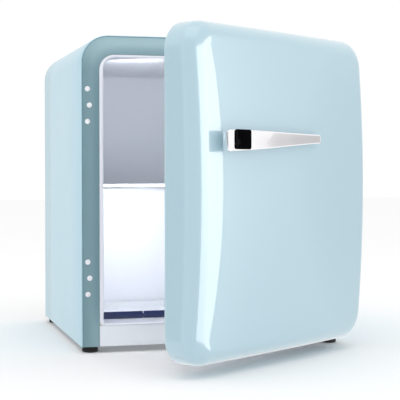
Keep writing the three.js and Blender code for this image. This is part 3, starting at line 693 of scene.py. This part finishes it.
piece("glass_shelf", bar(*drawn_box("shelf_glass"), 0.7), cabinet, shelf_glass, "cabinet",
      ["shelf_glass"])
trim_white = finish(
    "trim_white", (246, 249, 253), 0.3, coat=0.2, coat_roughness=0.1, grain=600.0, grain_depth=0.000008,
    wear=0.2, worn_card=(255, 255, 255), drift=0.02,
)
trim_half, ty0, ty1, tz0, tz1 = drawn_box("shelf_trim")[1:]
NOSE = 2.2
nose = arc(ty0 + NOSE, tz0 + NOSE, NOSE, 270, 180, 6) + arc(ty0 + NOSE, tz1 - NOSE, NOSE, 180, 90, 6)
lips = [(ty1 - 0.3, tz1), (ty1, tz1 - 0.3), (ty1, tz0 + 0.3), (ty1 - 0.3, tz0)]
piece("shelf_nose", swept(nose + lips, trim_half), cabinet, trim_white, "cabinet",
      ["shelf_trim"])

# ---- Low tray. A shallow white moulded tray on the cavity's floor, with a dark blue front strip in
# three panels clipped to it.
tray_plastic = finish(
    "tray_plastic", (238, 242, 248), 0.32, coat=0.1, grain=600.0, grain_depth=0.000008, wear=0.2, drift=0.02,
)


def open_box(x0, x1, y0, y1, z0, z1, wall, corner, rim=0.6):
    """An open-topped box moulded in one piece, with rounded corners and a rounded rim."""
    half_x, half_y = (x1 - x0) / 2, (y1 - y0) / 2
    middle_x, middle_y = (x0 + x1) / 2, (y0 + y1) / 2
    section = [(4, z0), (1.2, z0 + 0.3), (0.3, z0 + 1.2), (0, z0 + 4), (0, z1 - rim)]
    section += [(rim * 0.3, z1 - rim * 0.3), (wall / 2, z1), (wall - rim * 0.3, z1 - rim * 0.3)]
    section += [(wall, z1 - rim), (wall, z0 + wall + 3)]
    section += [(wall + 0.9, z0 + wall + 0.9), (wall + 3, z0 + wall)]
    loops = []
    for inset, z in section:
        radius = max(corner - inset * 0.7, 0.5)
        flat = ring(half_x - inset, -half_y + inset, half_y - inset, radius, side_steps=4)
        loops.append([(middle_x + x, middle_y + y, z) for x, y in flat])
    return loft(loops)


piece("floor_tray", open_box(*drawn_box("drip_tray"), 2, 10), cabinet, tray_plastic, "cabinet",
      ["drip_tray"])
smoked_plastic = finish(
    "smoked_plastic", (24, 42, 90), 0.2, coat=0.2, coat_roughness=0.05, grain=300.0, grain_depth=0.000006,
    wear=0.15, worn_card=(90, 100, 125), dust=0.02,
)
sx0, sx1, sy0, sy1, sz0, sz1 = drawn_box("tray_front_trim")
PANEL_SPLITS = (0.0, 0.2, 0.62, 1.0)
panels = []
for left, right in zip(PANEL_SPLITS, PANEL_SPLITS[1:]):
    start, end = sx0 + left * (sx1 - sx0) + 0.8, sx0 + right * (sx1 - sx0) - 0.8
    panels.append(bar(start, end, sy0, sy1, sz0, sz1, 0.7))
panels.append(bar(sx0, sx1, sy0 + 1.2, sy1, sz0 + 1, sz1 - 4, 0.3))
piece("tray_strip", join(panels), cabinet, smoked_plastic, "cabinet", ["tray_front_trim"])

# ---- Thermostat. A white moulded housing on the right-hand wall with marks round its dial, and a
# grey fluted knob with a grip bar that turns on it.
knob_plastic = finish(
    "knob_plastic", (214, 217, 220), 0.45, grain=500.0, grain_depth=0.000015, wear=0.3,
    worn_card=(235, 236, 238),
)


def turned(profile, sides=56, flutes=0, flute_depth=0.0, fluted=()):
    """A turned piece about Z from its (radius, height) profile, with flutes on the heights listed."""
    loops = []
    for index, (radius, height) in enumerate(profile):
        loop = []
        for i in range(sides):
            angle = 2 * math.pi * i / sides
            cut = flute_depth * (0.5 - 0.5 * math.cos(angle * flutes)) if index in fluted else 0
            loop.append(((radius - cut) * math.cos(angle), (radius - cut) * math.sin(angle), height))
        loops.append(loop)
    return loft(loops)


hx0, hx1, hy0, hy1, hz0, hz1 = drawn_box("thermostat_housing")
KNOB_Y, KNOB_Z = (hy0 + hy1) / 2, (hz0 + hz1) / 2
housing_parts = [bar(hx0, hx1, hy0, hy1, hz0, hz1, 3.0, 5)]
DIAL_MARKS = 7
for mark in range(DIAL_MARKS):
    angle = math.radians(-60 + 50 * mark)
    dot = turned([(1.0, -0.4), (1.0, 0.1), (0.7, 0.3)], 16)
    dot.transform(
        Matrix.Translation((hx0, KNOB_Y + 21 * math.sin(angle), KNOB_Z + 21 * math.cos(angle)))
        @ Matrix.Rotation(math.radians(-90), 4, "Y")
    )
    housing_parts.append(dot)
piece("thermostat_cover", join(housing_parts), cabinet, trim_white, "cabinet",
      ["thermostat_housing"])
knob_seat = drawn_box("thermostat_knob")[1]
knob = turned(
    [(17, 0), (17.9, 0.5), (18, 1.5), (17.6, 2.6), (17.0, 3.2), (16.0, 12), (15.4, 13.4), (14.2, 14)],
    144, 36, 0.45, (4, 5, 6),
)
grip = bar(-15, 15, -2.5, 2.5, 12.5, 17, 1.1)
pointer = bar(8, 14, -0.6, 0.6, 16.6, 17.0, 0.15)
knob_skin = join([knob, grip, pointer])
knob_skin.transform(
    Matrix.Translation((knob_seat, KNOB_Y, KNOB_Z)) @ Matrix.Rotation(math.radians(-90), 4, "Y")
)
piece("thermostat_dial", knob_skin, cabinet, knob_plastic, "thermostat_knob_body",
      ["thermostat_knob"])

# ---- Feet. Four black rubber feet, each a ribbed puck on a threaded stem under the base.
black_rubber = finish(
    "black_rubber", (30, 30, 31), 0.72, specular=0.35, grain=450.0, grain_depth=0.00003, wear=0.4,
    worn_card=(70, 70, 70), dust=0.12,
)
foot_profile = [(11.2, 0), (12.2, 0.5), (12.6, 1.2), (13, 1.7), (13, 2.6), (12.6, 3.0), (13, 3.4), (13, 4.4)]
foot_profile += [(12.6, 4.8), (13, 5.2), (13, 6.2), (12.2, 6.9), (7, 7.6), (6, 8.1), (6, 9.9)]
for name in ("foot_front_left", "foot_front_right", "foot_rear_left", "foot_rear_right"):
    fx0, fx1, fy0, fy1 = drawn_box(name)[:4]
    foot = turned(foot_profile)
    foot.transform(Matrix.Translation(((fx0 + fx1) / 2, (fy0 + fy1) / 2, 0)))
    piece(name + "_rubber", foot, cabinet, black_rubber, "cabinet", [name])

# ---- Plug caps. Six white caps pressed into the spare hinge holes of the frame's left side, each
# with a thin flange and a shallow dome.
cap_plastic = finish(
    "cap_plastic", (250, 251, 255), 0.32, coat=0.2, grain=500.0, grain_depth=0.000006, wear=0.15, drift=0.02,
)
FRONT_TURN = Matrix.Rotation(math.radians(90), 4, "X")
cap_profile = [(4.0, 0), (4.25, 0.15), (4.3, 0.4), (4.15, 0.62), (3.7, 0.75), (3.3, 0.95), (2.5, 1.15)]
cap_profile += [(1.4, 1.27)]
FASTENERS = [(level, number) for level in ("lower", "upper") for number in (1, 2, 3)]
for level, number in FASTENERS:
    node = f"plug_cap_{level}_{number}"
    cx0, cx1, _, cy1, cz0, cz1 = drawn_box(node)
    cap = turned(cap_profile)
    cap.transform(Matrix.Translation(((cx0 + cx1) / 2, cy1, (cz0 + cz1) / 2)) @ FRONT_TURN)
    piece(node + "_dome", cap, cabinet, cap_plastic, "cabinet", [node])

# ---- Hinges. Two plated steel brackets, each a plate screwed to the frame's right side with a
# folded arm, whose pin stands in a nylon bush in the door.
hinge_plating = finish(
    "hinge_plating", (205, 208, 211), 0.24, metal=1.0, grain=300.0, grain_depth=0.00001, wear=0.3,
    stretch=(1, 1, 0.1), dust=0.05,
)
screw_steel = finish(
    "screw_steel", (190, 193, 197), 0.3, metal=1.0, grain=900.0, grain_depth=0.00001, wear=0.4, dust=0.05,
)


def refined(node, edge, segments=2):
    """The node's own form, with its edges rounded, in metres."""
    skin = bmesh.new()
    skin.from_mesh(frame["nodes"][node].data)
    bmesh.ops.remove_doubles(skin, verts=skin.verts, dist=1e-6)
    bmesh.ops.dissolve_limit(skin, angle_limit=math.radians(1.5), verts=skin.verts, edges=skin.edges)
    folds = [e for e in skin.edges if len(e.link_faces) == 2 and e.calc_face_angle() > math.radians(32)]
    bmesh.ops.bevel(skin, geom=folds, offset=edge, segments=segments, profile=0.5, affect="EDGES",
                    clamp_overlap=True)
    return skin


ROW = Matrix.Identity(4)
for level in ("lower", "upper"):
    piece(f"bracket_{level}", refined(f"hinge_bracket_{level}", 0.0003), ROW, hinge_plating, "cabinet",
          [f"hinge_bracket_{level}"])
    px0, px1, py0, py1, pz0, pz1 = drawn_box(f"hinge_pin_{level}")
    pin_profile = [(2.4, pz0), (2.85, pz0 + 0.4), (3, pz0 + 1), (3, pz1 - 1), (2.85, pz1 - 0.4), (2.4, pz1)]
    pin = turned(pin_profile, 40)
    pin.transform(Matrix.Translation(((px0 + px1) / 2, (py0 + py1) / 2, 0)))
    piece(f"pin_{level}", pin, cabinet, screw_steel, "cabinet", [f"hinge_pin_{level}"])

screw_profile = [(3.3, 0), (3.5, 0.12), (3.45, 0.3), (3.15, 0.62), (2.6, 0.85), (1.9, 0.97)]
# Painted shade: the screws' cross recesses are not cut, and a dark steel cross set into each head stands in
# for the shade inside the recess.
painted_recess_shade = finish(
    "screw_slot_painted_shade", (60, 62, 65), 0.5, metal=1.0, grain=900.0, grain_depth=0.00001, wear=0.2,
)
for level, number in FASTENERS:
    node = f"hinge_screw_{level}_{number}"
    cx0, cx1, _, cy1, cz0, cz1 = drawn_box(node)
    at = Matrix.Translation(((cx0 + cx1) / 2, cy1, (cz0 + cz1) / 2)) @ FRONT_TURN
    head = turned(screw_profile, 40)
    head.transform(at)
    piece(node + "_head", head, cabinet, screw_steel, "cabinet", [node])
    # A dark cross set into the head: painted shade in place of the cut recess.
    cross = join([bar(-1.7, 1.7, -0.3, 0.3, 0.7, 0.99, 0.05), bar(-0.3, 0.3, -1.7, 1.7, 0.7, 0.99, 0.05)])
    cross.transform(at)
    piece(node + "_slot_painted_shade", cross, cabinet, painted_recess_shade, "cabinet", [])

# ---- Door skin. A deep-drawn steel shell with a crowned face, a generous rounded edge and rounded
# corners, sprayed with pale blue high-gloss lacquer and turned open on the hinges.
hinge = next(joint for joint in frame["joints"] if joint["name"] == "door_hinge")
OPEN_ANGLE = -math.radians(hinge["range_deg"][0])
hinge_line = cabinet.inverted() @ Vector(hinge["pos_m"])
door_open = (
    cabinet @ Matrix.Translation(hinge_line) @ Matrix.Rotation(OPEN_ANGLE, 4, "Z")
    @ Matrix.Translation(-hinge_line)
)
DOOR_BOTTOM = 17
DOOR_TOP = 506
DOOR_GAP = 6
EDGE_DEPTH = 51
EDGE_ROUND = 24
DOOR_CORNER = 43
CROWN_ACROSS = 8
CROWN_UP = 12.5
SKIN = 2
DOOR_MIDDLE = (DOOR_BOTTOM + DOOR_TOP) / 2
HALF_HEIGHT = (DOOR_TOP - DOOR_BOTTOM) / 2
door_paint = finish(
    "door_paint", (180, 210, 222), 0.3, coat=1.0, coat_roughness=0.015, grain=260.0, grain_depth=0.000004,
    wear=0.12, wear_width=0.001, drift=0.02, drift_scale=3.0, gloss_drift=0.04, dust=0.02,
)


def crowned(x, depth, z):
    """A point of the door, z from its middle, with the face's crown added in proportion to depth."""
    across = CROWN_ACROSS * (1 - (x / HALF) ** 2)
    up = CROWN_UP * (1 - (z / HALF_HEIGHT) ** 2)
    return (x, -DOOR_GAP - depth - depth / EDGE_DEPTH * (across + up), DOOR_MIDDLE + z)


def door_ring(inset, depth):
    flat = ring(
        HALF - inset, -HALF_HEIGHT + inset, HALF_HEIGHT - inset, max(DOOR_CORNER - inset, 1),
        corner_steps=16, side_steps=20,
    )
    return [crowned(x, depth, z) for x, z in flat]


quarter = [math.radians(90 * step / 16) for step in range(17)]
outside = [(4.2, 3.2), (4.2, 0.6), (4, 0), (2.6, 0.35), (1.2, 1.2), (0.3, 2.6), (0, 4), (0, 12), (0, 20)]
outside += [(EDGE_ROUND * (1 - math.cos(a)), EDGE_DEPTH - EDGE_ROUND * (1 - math.sin(a))) for a in quarter]
outside += [(inset, EDGE_DEPTH) for inset in range(32, 217, 9)]
inside = [(inset, EDGE_DEPTH - SKIN) for inset in range(216, 24, -24)]
INNER_ROUND = EDGE_ROUND - SKIN
inside += [(SKIN + INNER_ROUND * (1 - math.cos(a)), EDGE_DEPTH - EDGE_ROUND + INNER_ROUND * math.sin(a))
           for a in reversed(quarter[::2])]
inside += [(SKIN, 12), (4.1, 10)]
door_loops = [door_ring(inset, depth) for inset, depth in reversed(outside)]
door_loops += [door_ring(inset, depth) for inset, depth in reversed(inside)]
piece("door_shell", loft(door_loops), door_open, door_paint, "door", ["door_skin"], crease=50)

# ---- Door liner. A white vacuum-formed panel in the back of the door, with a raised rib round the
# storage space, and a soft magnetic seal in its edge.
RIB_HALF = 180
RIB_BOTTOM = 54
RIB_TOP = 467
RIB = 12
RIB_REACH = 28
PLATE_INSET = 4.6


def liner_ring(inset, y, radius):
    return at_depth(ring(HALF - inset, DOOR_BOTTOM + inset, DOOR_TOP - inset, radius, corner_steps=12), y)


def rib_ring(inset, y):
    radius = max(18 - inset * 0.8, 4)
    return at_depth(ring(RIB_HALF - inset, RIB_BOTTOM + inset, RIB_TOP - inset, radius, corner_steps=12), y)


liner_loops = [liner_ring(PLATE_INSET, -8.9, 38), liner_ring(PLATE_INSET, -6.4, 38)]
liner_loops += [liner_ring(PLATE_INSET + 0.5, -6, 38)]
liner_loops += [rib_ring(-3.4, -6), rib_ring(-1.2, -5.2), rib_ring(0, -3)]
liner_loops += [rib_ring(0.6, 10), rib_ring(1.0, RIB_REACH - 4)]
RIB_ROUND = 4
rib_turn = [math.radians(d) for d in (20, 45, 70, 90)]
crest = [(RIB_ROUND * (1 - math.cos(a)), RIB_REACH - RIB_ROUND * (1 - math.sin(a))) for a in rib_turn]
liner_loops += [rib_ring(1 + inset, y) for inset, y in crest]
liner_loops += [rib_ring(RIB - inset, y) for inset, y in reversed(crest)]
liner_loops += [rib_ring(RIB, RIB_REACH - 5), rib_ring(RIB, -3), rib_ring(RIB + 1.2, -5)]
liner_loops += [rib_ring(RIB + 4, -6), rib_ring(60, -6), rib_ring(120, -6), rib_ring(120, -8.9)]
piece("door_lining", loft(liner_loops), door_open, liner_white, "door", ["door_liner"])

gasket_rubber = finish(
    "gasket_rubber", (216, 221, 225), 0.55, specular=0.4, grain=500.0, grain_depth=0.00002, wear=0.25,
    worn_card=(235, 237, 240), dust=0.05,
)
seal_section = [(0.6, -5.7), (0, -5.2), (0.3, -4.4), (1.1, -3.9), (0.4, -3.3), (0, -2.6), (0.2, -1.4)]
seal_section += [(1.2, -0.7), (2.6, -0.5), (4.6, -0.5)]
seal_section += [(6.0, -0.7), (7.0, -1.5), (7.2, -2.8), (6.6, -3.5), (5.9, -3.9)]
seal_section += [(6.8, -4.4), (7.2, -5.2), (6.6, -5.7)]
SEAL_HALF = OPENING_HALF + 7.5
seal_loops = [
    at_depth(ring(SEAL_HALF - inset, 30.8 + inset, 488.7 - inset, 30 - inset, 12 - inset), y)
    for inset, y in seal_section
]
piece("door_seal", loft(seal_loops, joined=True), door_open, gasket_rubber, "door",
      ["door_gasket"])

# ---- Door racks. Three white moulded open racks clipped between the liner's ribs, their fronts
# bowed out between shallow ends.
RACK_HALF = RIB_HALF - RIB - 0.5
RACK_END = 33
RACKS = {"rack_lower": (72, 74, 80), "rack_middle": (205, 56, 62), "rack_upper": (340, 56, 62)}


def rack_plan(inset, reach):
    """The rack's outline from above, drawn in by inset."""
    half, back, end, front = RACK_HALF - inset, -5.7 + inset, RACK_END - inset, reach - inset
    bow = []
    for step in range(13):
        t = step / 12
        x = (1 - t) ** 2 * half + 2 * (1 - t) * t * (half - 40) + t * t * (half - 70)
        y = (1 - t) ** 2 * end + 2 * (1 - t) * t * front + t * t * front
        bow.append((x, y))
    straight = between(bow[-1], (-bow[-1][0], front), 8)
    mirrored = [(-x, y) for x, y in reversed(bow)]
    sides = between((half, back), (half, end), 4)
    far_sides = between((-half, end), (-half, back), 4)
    return [(half, back)] + sides + bow + straight + mirrored + far_sides + [(-half, back)]


for name, (bottom, height, reach) in RACKS.items():
    top = bottom + height
    section = [(2.5, bottom), (0.8, bottom + 0.3), (0.2, bottom + 1.2), (0, bottom + 3), (0, top - 8)]
    section += [(0, top - 0.8), (0.3, top - 0.2), (1.25, top)]
    section += [(2.2, top - 0.2), (2.5, top - 0.8), (2.5, bottom + 5)]
    section += [(3.4, bottom + 3.2), (5.5, bottom + 2.5)]
    loops = [[(x, y, z) for x, y in rack_plan(inset, reach)] for inset, z in section]
    piece(name + "_moulding", loft(loops), door_open, trim_white, "door", [name])

# ---- Hinge bushes. Natural nylon sleeves pressed into the door's foam for the hinge pins.
natural_plastic = finish("natural_plastic", (216, 216, 208), 0.5, grain=500.0, grain_depth=0.00001, wear=0.2)
for level in ("lower", "upper"):
    name = f"hinge_bush_{level}"
    bx0, bx1, by0, by1, bz0, bz1 = drawn_box(name)
    inner, outer = 3.2, 4.6
    sleeve_section = [(outer - 0.3, bz0), (outer, bz0 + 0.3), (outer, bz1 - 0.3), (outer - 0.3, bz1)]
    sleeve_section += [(inner + 0.3, bz1), (inner, bz1 - 0.3), (inner, bz0 + 0.3), (inner + 0.3, bz0)]
    sleeve = loft(
        [[(r * math.cos(math.tau * i / 40), r * math.sin(math.tau * i / 40), h) for i in range(40)]
         for r, h in sleeve_section],
        joined=True,
    )
    sleeve.transform(Matrix.Translation(((bx0 + bx1) / 2, (by0 + by1) / 2, 0)))
    piece(name + "_sleeve", sleeve, cabinet, natural_plastic, "door", [name])

# ---- Handle. A die-cast lever on two posts, polished and chrome plated, deep at the grip end and
# tapering to a slim tip, with a gloss black inlay on the grip.
LEVER_LEFT = -183.5
LEVER_RIGHT = 53
LEVER_Z = 336
LEVER_RISE = 6
LEVER_FACE = 88
chrome = finish(
    "chrome", (252, 250, 252), 0.035, metal=1.0, grain=120.0, grain_depth=0.000002, wear=0.05,
    gloss_drift=0.03, drift=0.02, dust=0.02,
)
gloss_black = finish(
    "gloss_black", (2, 2, 5), 0.06, specular=0.01, grain=200.0, grain_depth=0.000003,
    wear=0.15, worn_card=(40, 40, 44), dust=0.005, gloss_drift=0.02,
)
STATIONS = [
    (0.0, 88, 12, 29), (0.01, 88, 12, 30.5), (0.24, 88, 11.5, 28.5), (0.45, 87, 10, 24.5),
    (0.65, 85.4, 8, 20), (0.85, 83.2, 6.2, 16), (0.99, 81.2, 5, 14), (1.0, 81.2, 5, 13),
]


def lever_section(along):
    """Face depth, thickness and height of the lever at a fraction of its length."""
    for start, end in zip(STATIONS, STATIONS[1:]):
        if along <= end[0]:
            share = (along - start[0]) / (end[0] - start[0])
            return [a + (b - a) * share for a, b in zip(start[1:], end[1:])]
    return STATIONS[-1][1:]


def lever_loop(along, shrink=0.0):
    face, thickness, height = lever_section(along)
    x = LEVER_LEFT + along * (LEVER_RIGHT - LEVER_LEFT)
    half_height = height / 2 - shrink
    edge = min(2.2, thickness / 2 - 0.2)
    front, back = -DOOR_GAP - face + shrink * 0.5, -DOOR_GAP - face + thickness - shrink * 0.5
    loop = []
    for cy, cz, start in (
        (front + edge, half_height - edge, 90), (front + edge, -half_height + edge, 180),
        (back - edge, -half_height + edge, 270), (back - edge, half_height - edge, 0),
    ):
        for step in range(7):
            a = math.radians(start + 15 * step)
            loop.append((x, cy + edge * math.cos(a), LEVER_Z + LEVER_RISE * along + cz + edge * math.sin(a)))
    return loop


stations = [(0.0, 1.6), (0.002, 0.7), (0.006, 0.15), (0.012, 0.0)]
stations += [(0.03 + 0.0475 * step, 0.0) for step in range(21)]
stations += [(0.99, 0.0), (0.996, 0.25), (1.0, 0.9)]
lever_skin = loft([lever_loop(along, shrink) for along, shrink in stations])
POSTS = [(-110, 7, 76.5), (12, 5, 79)]
posts = []
for x, radius, reach in POSTS:
    swell_across = CROWN_ACROSS * (1 - (x / HALF) ** 2)
    swell_up = CROWN_UP * (1 - ((LEVER_Z - DOOR_MIDDLE) / HALF_HEIGHT) ** 2)
    foot_depth = 50 + swell_across + swell_up
    post = turned(
        [(radius + 3, foot_depth - 1), (radius + 3, foot_depth + 1.6), (radius + 2.4, foot_depth + 2.4),
         (radius + 0.6, foot_depth + 3), (radius, foot_depth + 4.2), (radius, reach - 1.5),
         (radius + 1.2, reach + 1)],
        48,
    )
    risen = LEVER_Z + LEVER_RISE * (x - LEVER_LEFT) / (LEVER_RIGHT - LEVER_LEFT)
    post.transform(Matrix.Translation((x, -DOOR_GAP, risen)) @ FRONT_TURN)
    posts.append(post)
piece("lever_casting", join([lever_skin] + posts), door_open, chrome, "door", ["handle_lever"])
INLAY_HALF = 18.5
INLAY_HALF_HEIGHT = 14
INLAY_CORNER = 3.5
INLAY_X = -153.5
inlay = plate(INLAY_HALF, -INLAY_HALF_HEIGHT, INLAY_HALF_HEIGHT, INLAY_CORNER, -1.5, -0.05, 0.9)
inlay.transform(Matrix.Translation((INLAY_X, -DOOR_GAP - LEVER_FACE, LEVER_Z + 2)))
piece("grip_inlay", inlay, door_open, gloss_black, "door", ["handle_inlay"])

# ---- Back and base. A galvanised steel panel with pressed beads closes the foamed back above the
# open machine bay; the base plate carries the compressor and the cord's clamp.
galvanised = finish(
    "galvanised", (172, 177, 181), 0.42, metal=0.9, grain=60.0, grain_depth=0.00001, drift=0.18,
    drift_scale=22.0, gloss_drift=0.15, wear=0.4, worn_card=(210, 213, 216), dust=0.15,
)
bx0, bx1, by0, by1, bz0, bz1 = drawn_box("rear_panel")
back_section = [(0.2, by0), (0, by0 + 0.3), (0, by1 - 0.4), (0.4, by1), (11, by1), (13, by1 - 0.5)]
back_section += [(15, by1 - 0.5), (17, by1), (24, by1)]
back_panel = loft([
    at_depth(ring(bx1 - i, bz0 + i, bz1 - i, max(42.2 - i, 4), max(3 - i, 1)), y) for i, y in back_section
])
back_parts = [back_panel]
for x in (-110, -55, 0, 55, 110):
    back_parts.append(bar(x - 5, x + 5, by1 - 0.6, by1 + 0.6, bz0 + 60, bz1 - 60, 0.5))
for x in (-190, -65, 65, 190):
    for z in (bz0 + 8, bz1 - 8):
        if abs(x) < 180 or z < bz0 + 20:
            head = turned([(3.6, -0.5), (3.6, 0.4), (3.0, 0.9), (1.6, 1.15)], 32)
            head.transform(Matrix.Translation((x, by1, z)) @ Matrix.Rotation(math.radians(-90), 4, "X"))
            back_parts.append(head)
piece("back_sheet", join(back_parts), cabinet, galvanised, "cabinet", ["rear_panel"])
piece("base_sheet", refined("base_plate", 0.0003), ROW, galvanised, "cabinet", ["base_plate"])
piece("bay_screen", refined("bay_cover", 0.0002, 1), ROW, galvanised, "cabinet", ["bay_cover"])
gx0, gx1, gy0, gy1, gz0, gz1 = drawn_box("cord_gland")
gland = turned(
    [(6, gy0), (8.6, gy0 + 0.4), (9, gy0 + 1.2), (9, gy1 - 8), (8.4, gy1 - 7), (9, gy1 - 6), (8.4, gy1 - 5),
     (9, gy1 - 4), (8.4, gy1 - 3), (8.8, gy1 - 2), (8, gy1 - 0.4), (6, gy1)],
    48,
)
gland.transform(Matrix.Translation(((gx0 + gx1) / 2, gy0 + gy1, (gz0 + gz1) / 2)) @ FRONT_TURN)
piece("inlet_gland", gland, cabinet, black_rubber, "cabinet", ["cord_gland"])

# ---- Compressor. A black enamelled steel shell in two halves with a welded seam, on a bracket with
# rubber grommets, with its terminal box beside it and the meltwater pan on top.
black_enamel = finish(
    "black_enamel", (34, 35, 38), 0.4, coat=0.3, coat_roughness=0.2, grain=300.0, grain_depth=0.00002,
    wear=0.5, worn_card=(95, 95, 98), dust=0.25,
)
black_plastic = finish(
    "black_plastic", (36, 36, 38), 0.5, grain=600.0, grain_depth=0.00003, wear=0.3,
    worn_card=(70, 70, 74), dust=0.15,
)
COMPRESSOR_X, COMPRESSOR_Y = 60, 338
shell_foot = drawn_box("compressor")[4]
dome_profile = [
    (40, 0), (48, 2), (54, 6), (58.5, 12), (61, 20), (61.8, 38), (62, 55), (63.5, 56.5), (64, 59), (64, 66),
    (63.5, 68.5), (62, 70), (61.4, 82), (60, 95), (56.5, 107), (50, 117), (41, 124.5), (30, 129), (16, 132),
    (4, 133),
]
dome = turned([(r, shell_foot + h) for r, h in dome_profile], 96)
dome.transform(Matrix.Translation((COMPRESSOR_X, COMPRESSOR_Y, 0)))
piece("compressor_shell", dome, cabinet, black_enamel, "cabinet", ["compressor"])
piece("compressor_foot", refined("compressor_bracket", 0.0008, 3), ROW, black_enamel, "cabinet",
      ["compressor_bracket"])
piece("meltwater_pan", open_box(*drawn_box("evaporation_pan"), 2, 8), cabinet, black_plastic, "cabinet",
      ["evaporation_pan"])
vx0, vx1, vy0, vy1, vz0, vz1 = drawn_box("terminal_box")
cover_parts = [bar(vx0, vx1 - 2, vy0, vy1, vz0, vz1, 2.5, 4)]
cover_parts += [bar(vx1 - 3, vx1, vy0 + 4, vy1 - 4, vz0 + 4 + 9 * i, vz0 + 9 + 9 * i, 0.8) for i in range(5)]
piece("terminal_cover", join(cover_parts), cabinet, black_plastic, "cabinet",
      ["terminal_box"])
for number in (1, 2, 3, 4):
    name = f"compressor_grommet_{number}"
    qx0, qx1, qy0, qy1, qz0, qz1 = drawn_box(name)
    grommet = turned(
        [(8.4, qz0), (9, qz0 + 0.5), (9, qz0 + 2), (8, qz0 + 2.7), (6.6, qz0 + 3.1), (6.6, qz0 + 3.9),
         (8, qz0 + 4.3), (9, qz0 + 5), (9, qz1 - 0.5), (8.4, qz1)],
        40,
    )
    grommet.transform(Matrix.Translation(((qx0 + qx1) / 2, (qy0 + qy1) / 2, 0)))
    piece(name + "_rubber", grommet, cabinet, black_rubber, "cabinet", [name])

# ---- Pipes. Drawn copper tubes run from the compressor to the condenser in the left wall and to
# the evaporator, with the filter dryer brazed into the line.
copper_pipe = finish(
    "copper_pipe", (196, 128, 92), 0.3, metal=1.0, grain=200.0, grain_depth=0.00001, drift=0.3,
    drift_scale=30.0, gloss_drift=0.2, wear=0.3, worn_card=(226, 160, 120), dust=0.15,
)


def tube(points, radius):
    """A round tube along a smooth curve through its points."""
    line = bpy.data.curves.new("pipe_line", "CURVE")
    line.dimensions = "3D"
    line.bevel_depth = radius
    line.bevel_resolution = 5
    line.resolution_u = 10
    line.use_fill_caps = True
    spline = line.splines.new("BEZIER")
    spline.bezier_points.add(len(points) - 1)
    for knot, point in zip(spline.bezier_points, points):
        knot.co = point
        knot.handle_left_type = knot.handle_right_type = "AUTO"
    carrier = bpy.data.objects.new("pipe_line", line)
    bpy.context.scene.collection.objects.link(carrier)
    bpy.context.view_layer.update()
    shape = bpy.data.meshes.new_from_object(carrier)
    skin = bmesh.new()
    skin.from_mesh(shape)
    bpy.data.objects.remove(carrier)
    return skin


DISCHARGE = [
    (-5.5, 338, 92), (-40, 338, 92), (-90, 330, 80), (-150, 312, 80), (-190, 303, 110), (-206.1, 300, 150),
    (-212.1, 300, 171),
]
SUCTION = [(-6.5, 352, 115), (-30, 362, 120), (-60, 382, 140), (-68, 396, 175), (-68, 398, 202.5)]
DISCHARGE_RADIUS = 2.8
SUCTION_RADIUS = 3.3
piece("discharge_tube", tube(DISCHARGE, DISCHARGE_RADIUS), cabinet, copper_pipe, "cabinet",
      ["discharge_pipe"])
piece("suction_tube", tube(SUCTION, SUCTION_RADIUS), cabinet, copper_pipe, "cabinet",
      ["suction_pipe"])
dryer = turned(
    [(2.2, 0), (2.5, 0.5), (3.2, 6), (3.8, 9), (7.5, 13), (8.8, 16), (9, 18), (9, 76), (8.8, 78), (7, 82),
     (3.8, 86.5), (3.2, 89), (2.5, 95.5), (2.2, 96)],
    48,
)
DRYER_FOOT = (-150, 396, 60)
DRYER_TILT = 0.35
dryer.transform(Matrix.Translation(DRYER_FOOT) @ Matrix.Rotation(DRYER_TILT, 4, "Y"))
piece("dryer_shell", dryer, cabinet, copper_pipe, "cabinet", ["filter_dryer"])

# ---- Hidden pieces. Poured polyurethane foam fills the cabinet and the door; the aluminium
# evaporator plate and the black condenser tube lie in it. Their forms come from the frame.
foam = finish(
    "foam", (233, 223, 180), 0.9, specular=0.2, grain=350.0, grain_depth=0.0003, drift=0.15,
    drift_scale=40.0, wear=0.2, dust=0.0,
)
evaporator_aluminium = finish(
    "evaporator_aluminium", (205, 208, 210), 0.35, metal=1.0, grain=250.0, grain_depth=0.00002, wear=0.3,
    stretch=(0.1, 1, 1),
)
HIDDEN = [
    ("insulation_foam", foam), ("door_foam", foam), ("evaporator_plate", evaporator_aluminium),
    ("condenser_coil", black_enamel),
]
for name, material in HIDDEN:
    materials = frame["nodes"][name].data.materials
    for slot_place in range(len(materials)):
        materials[slot_place] = material
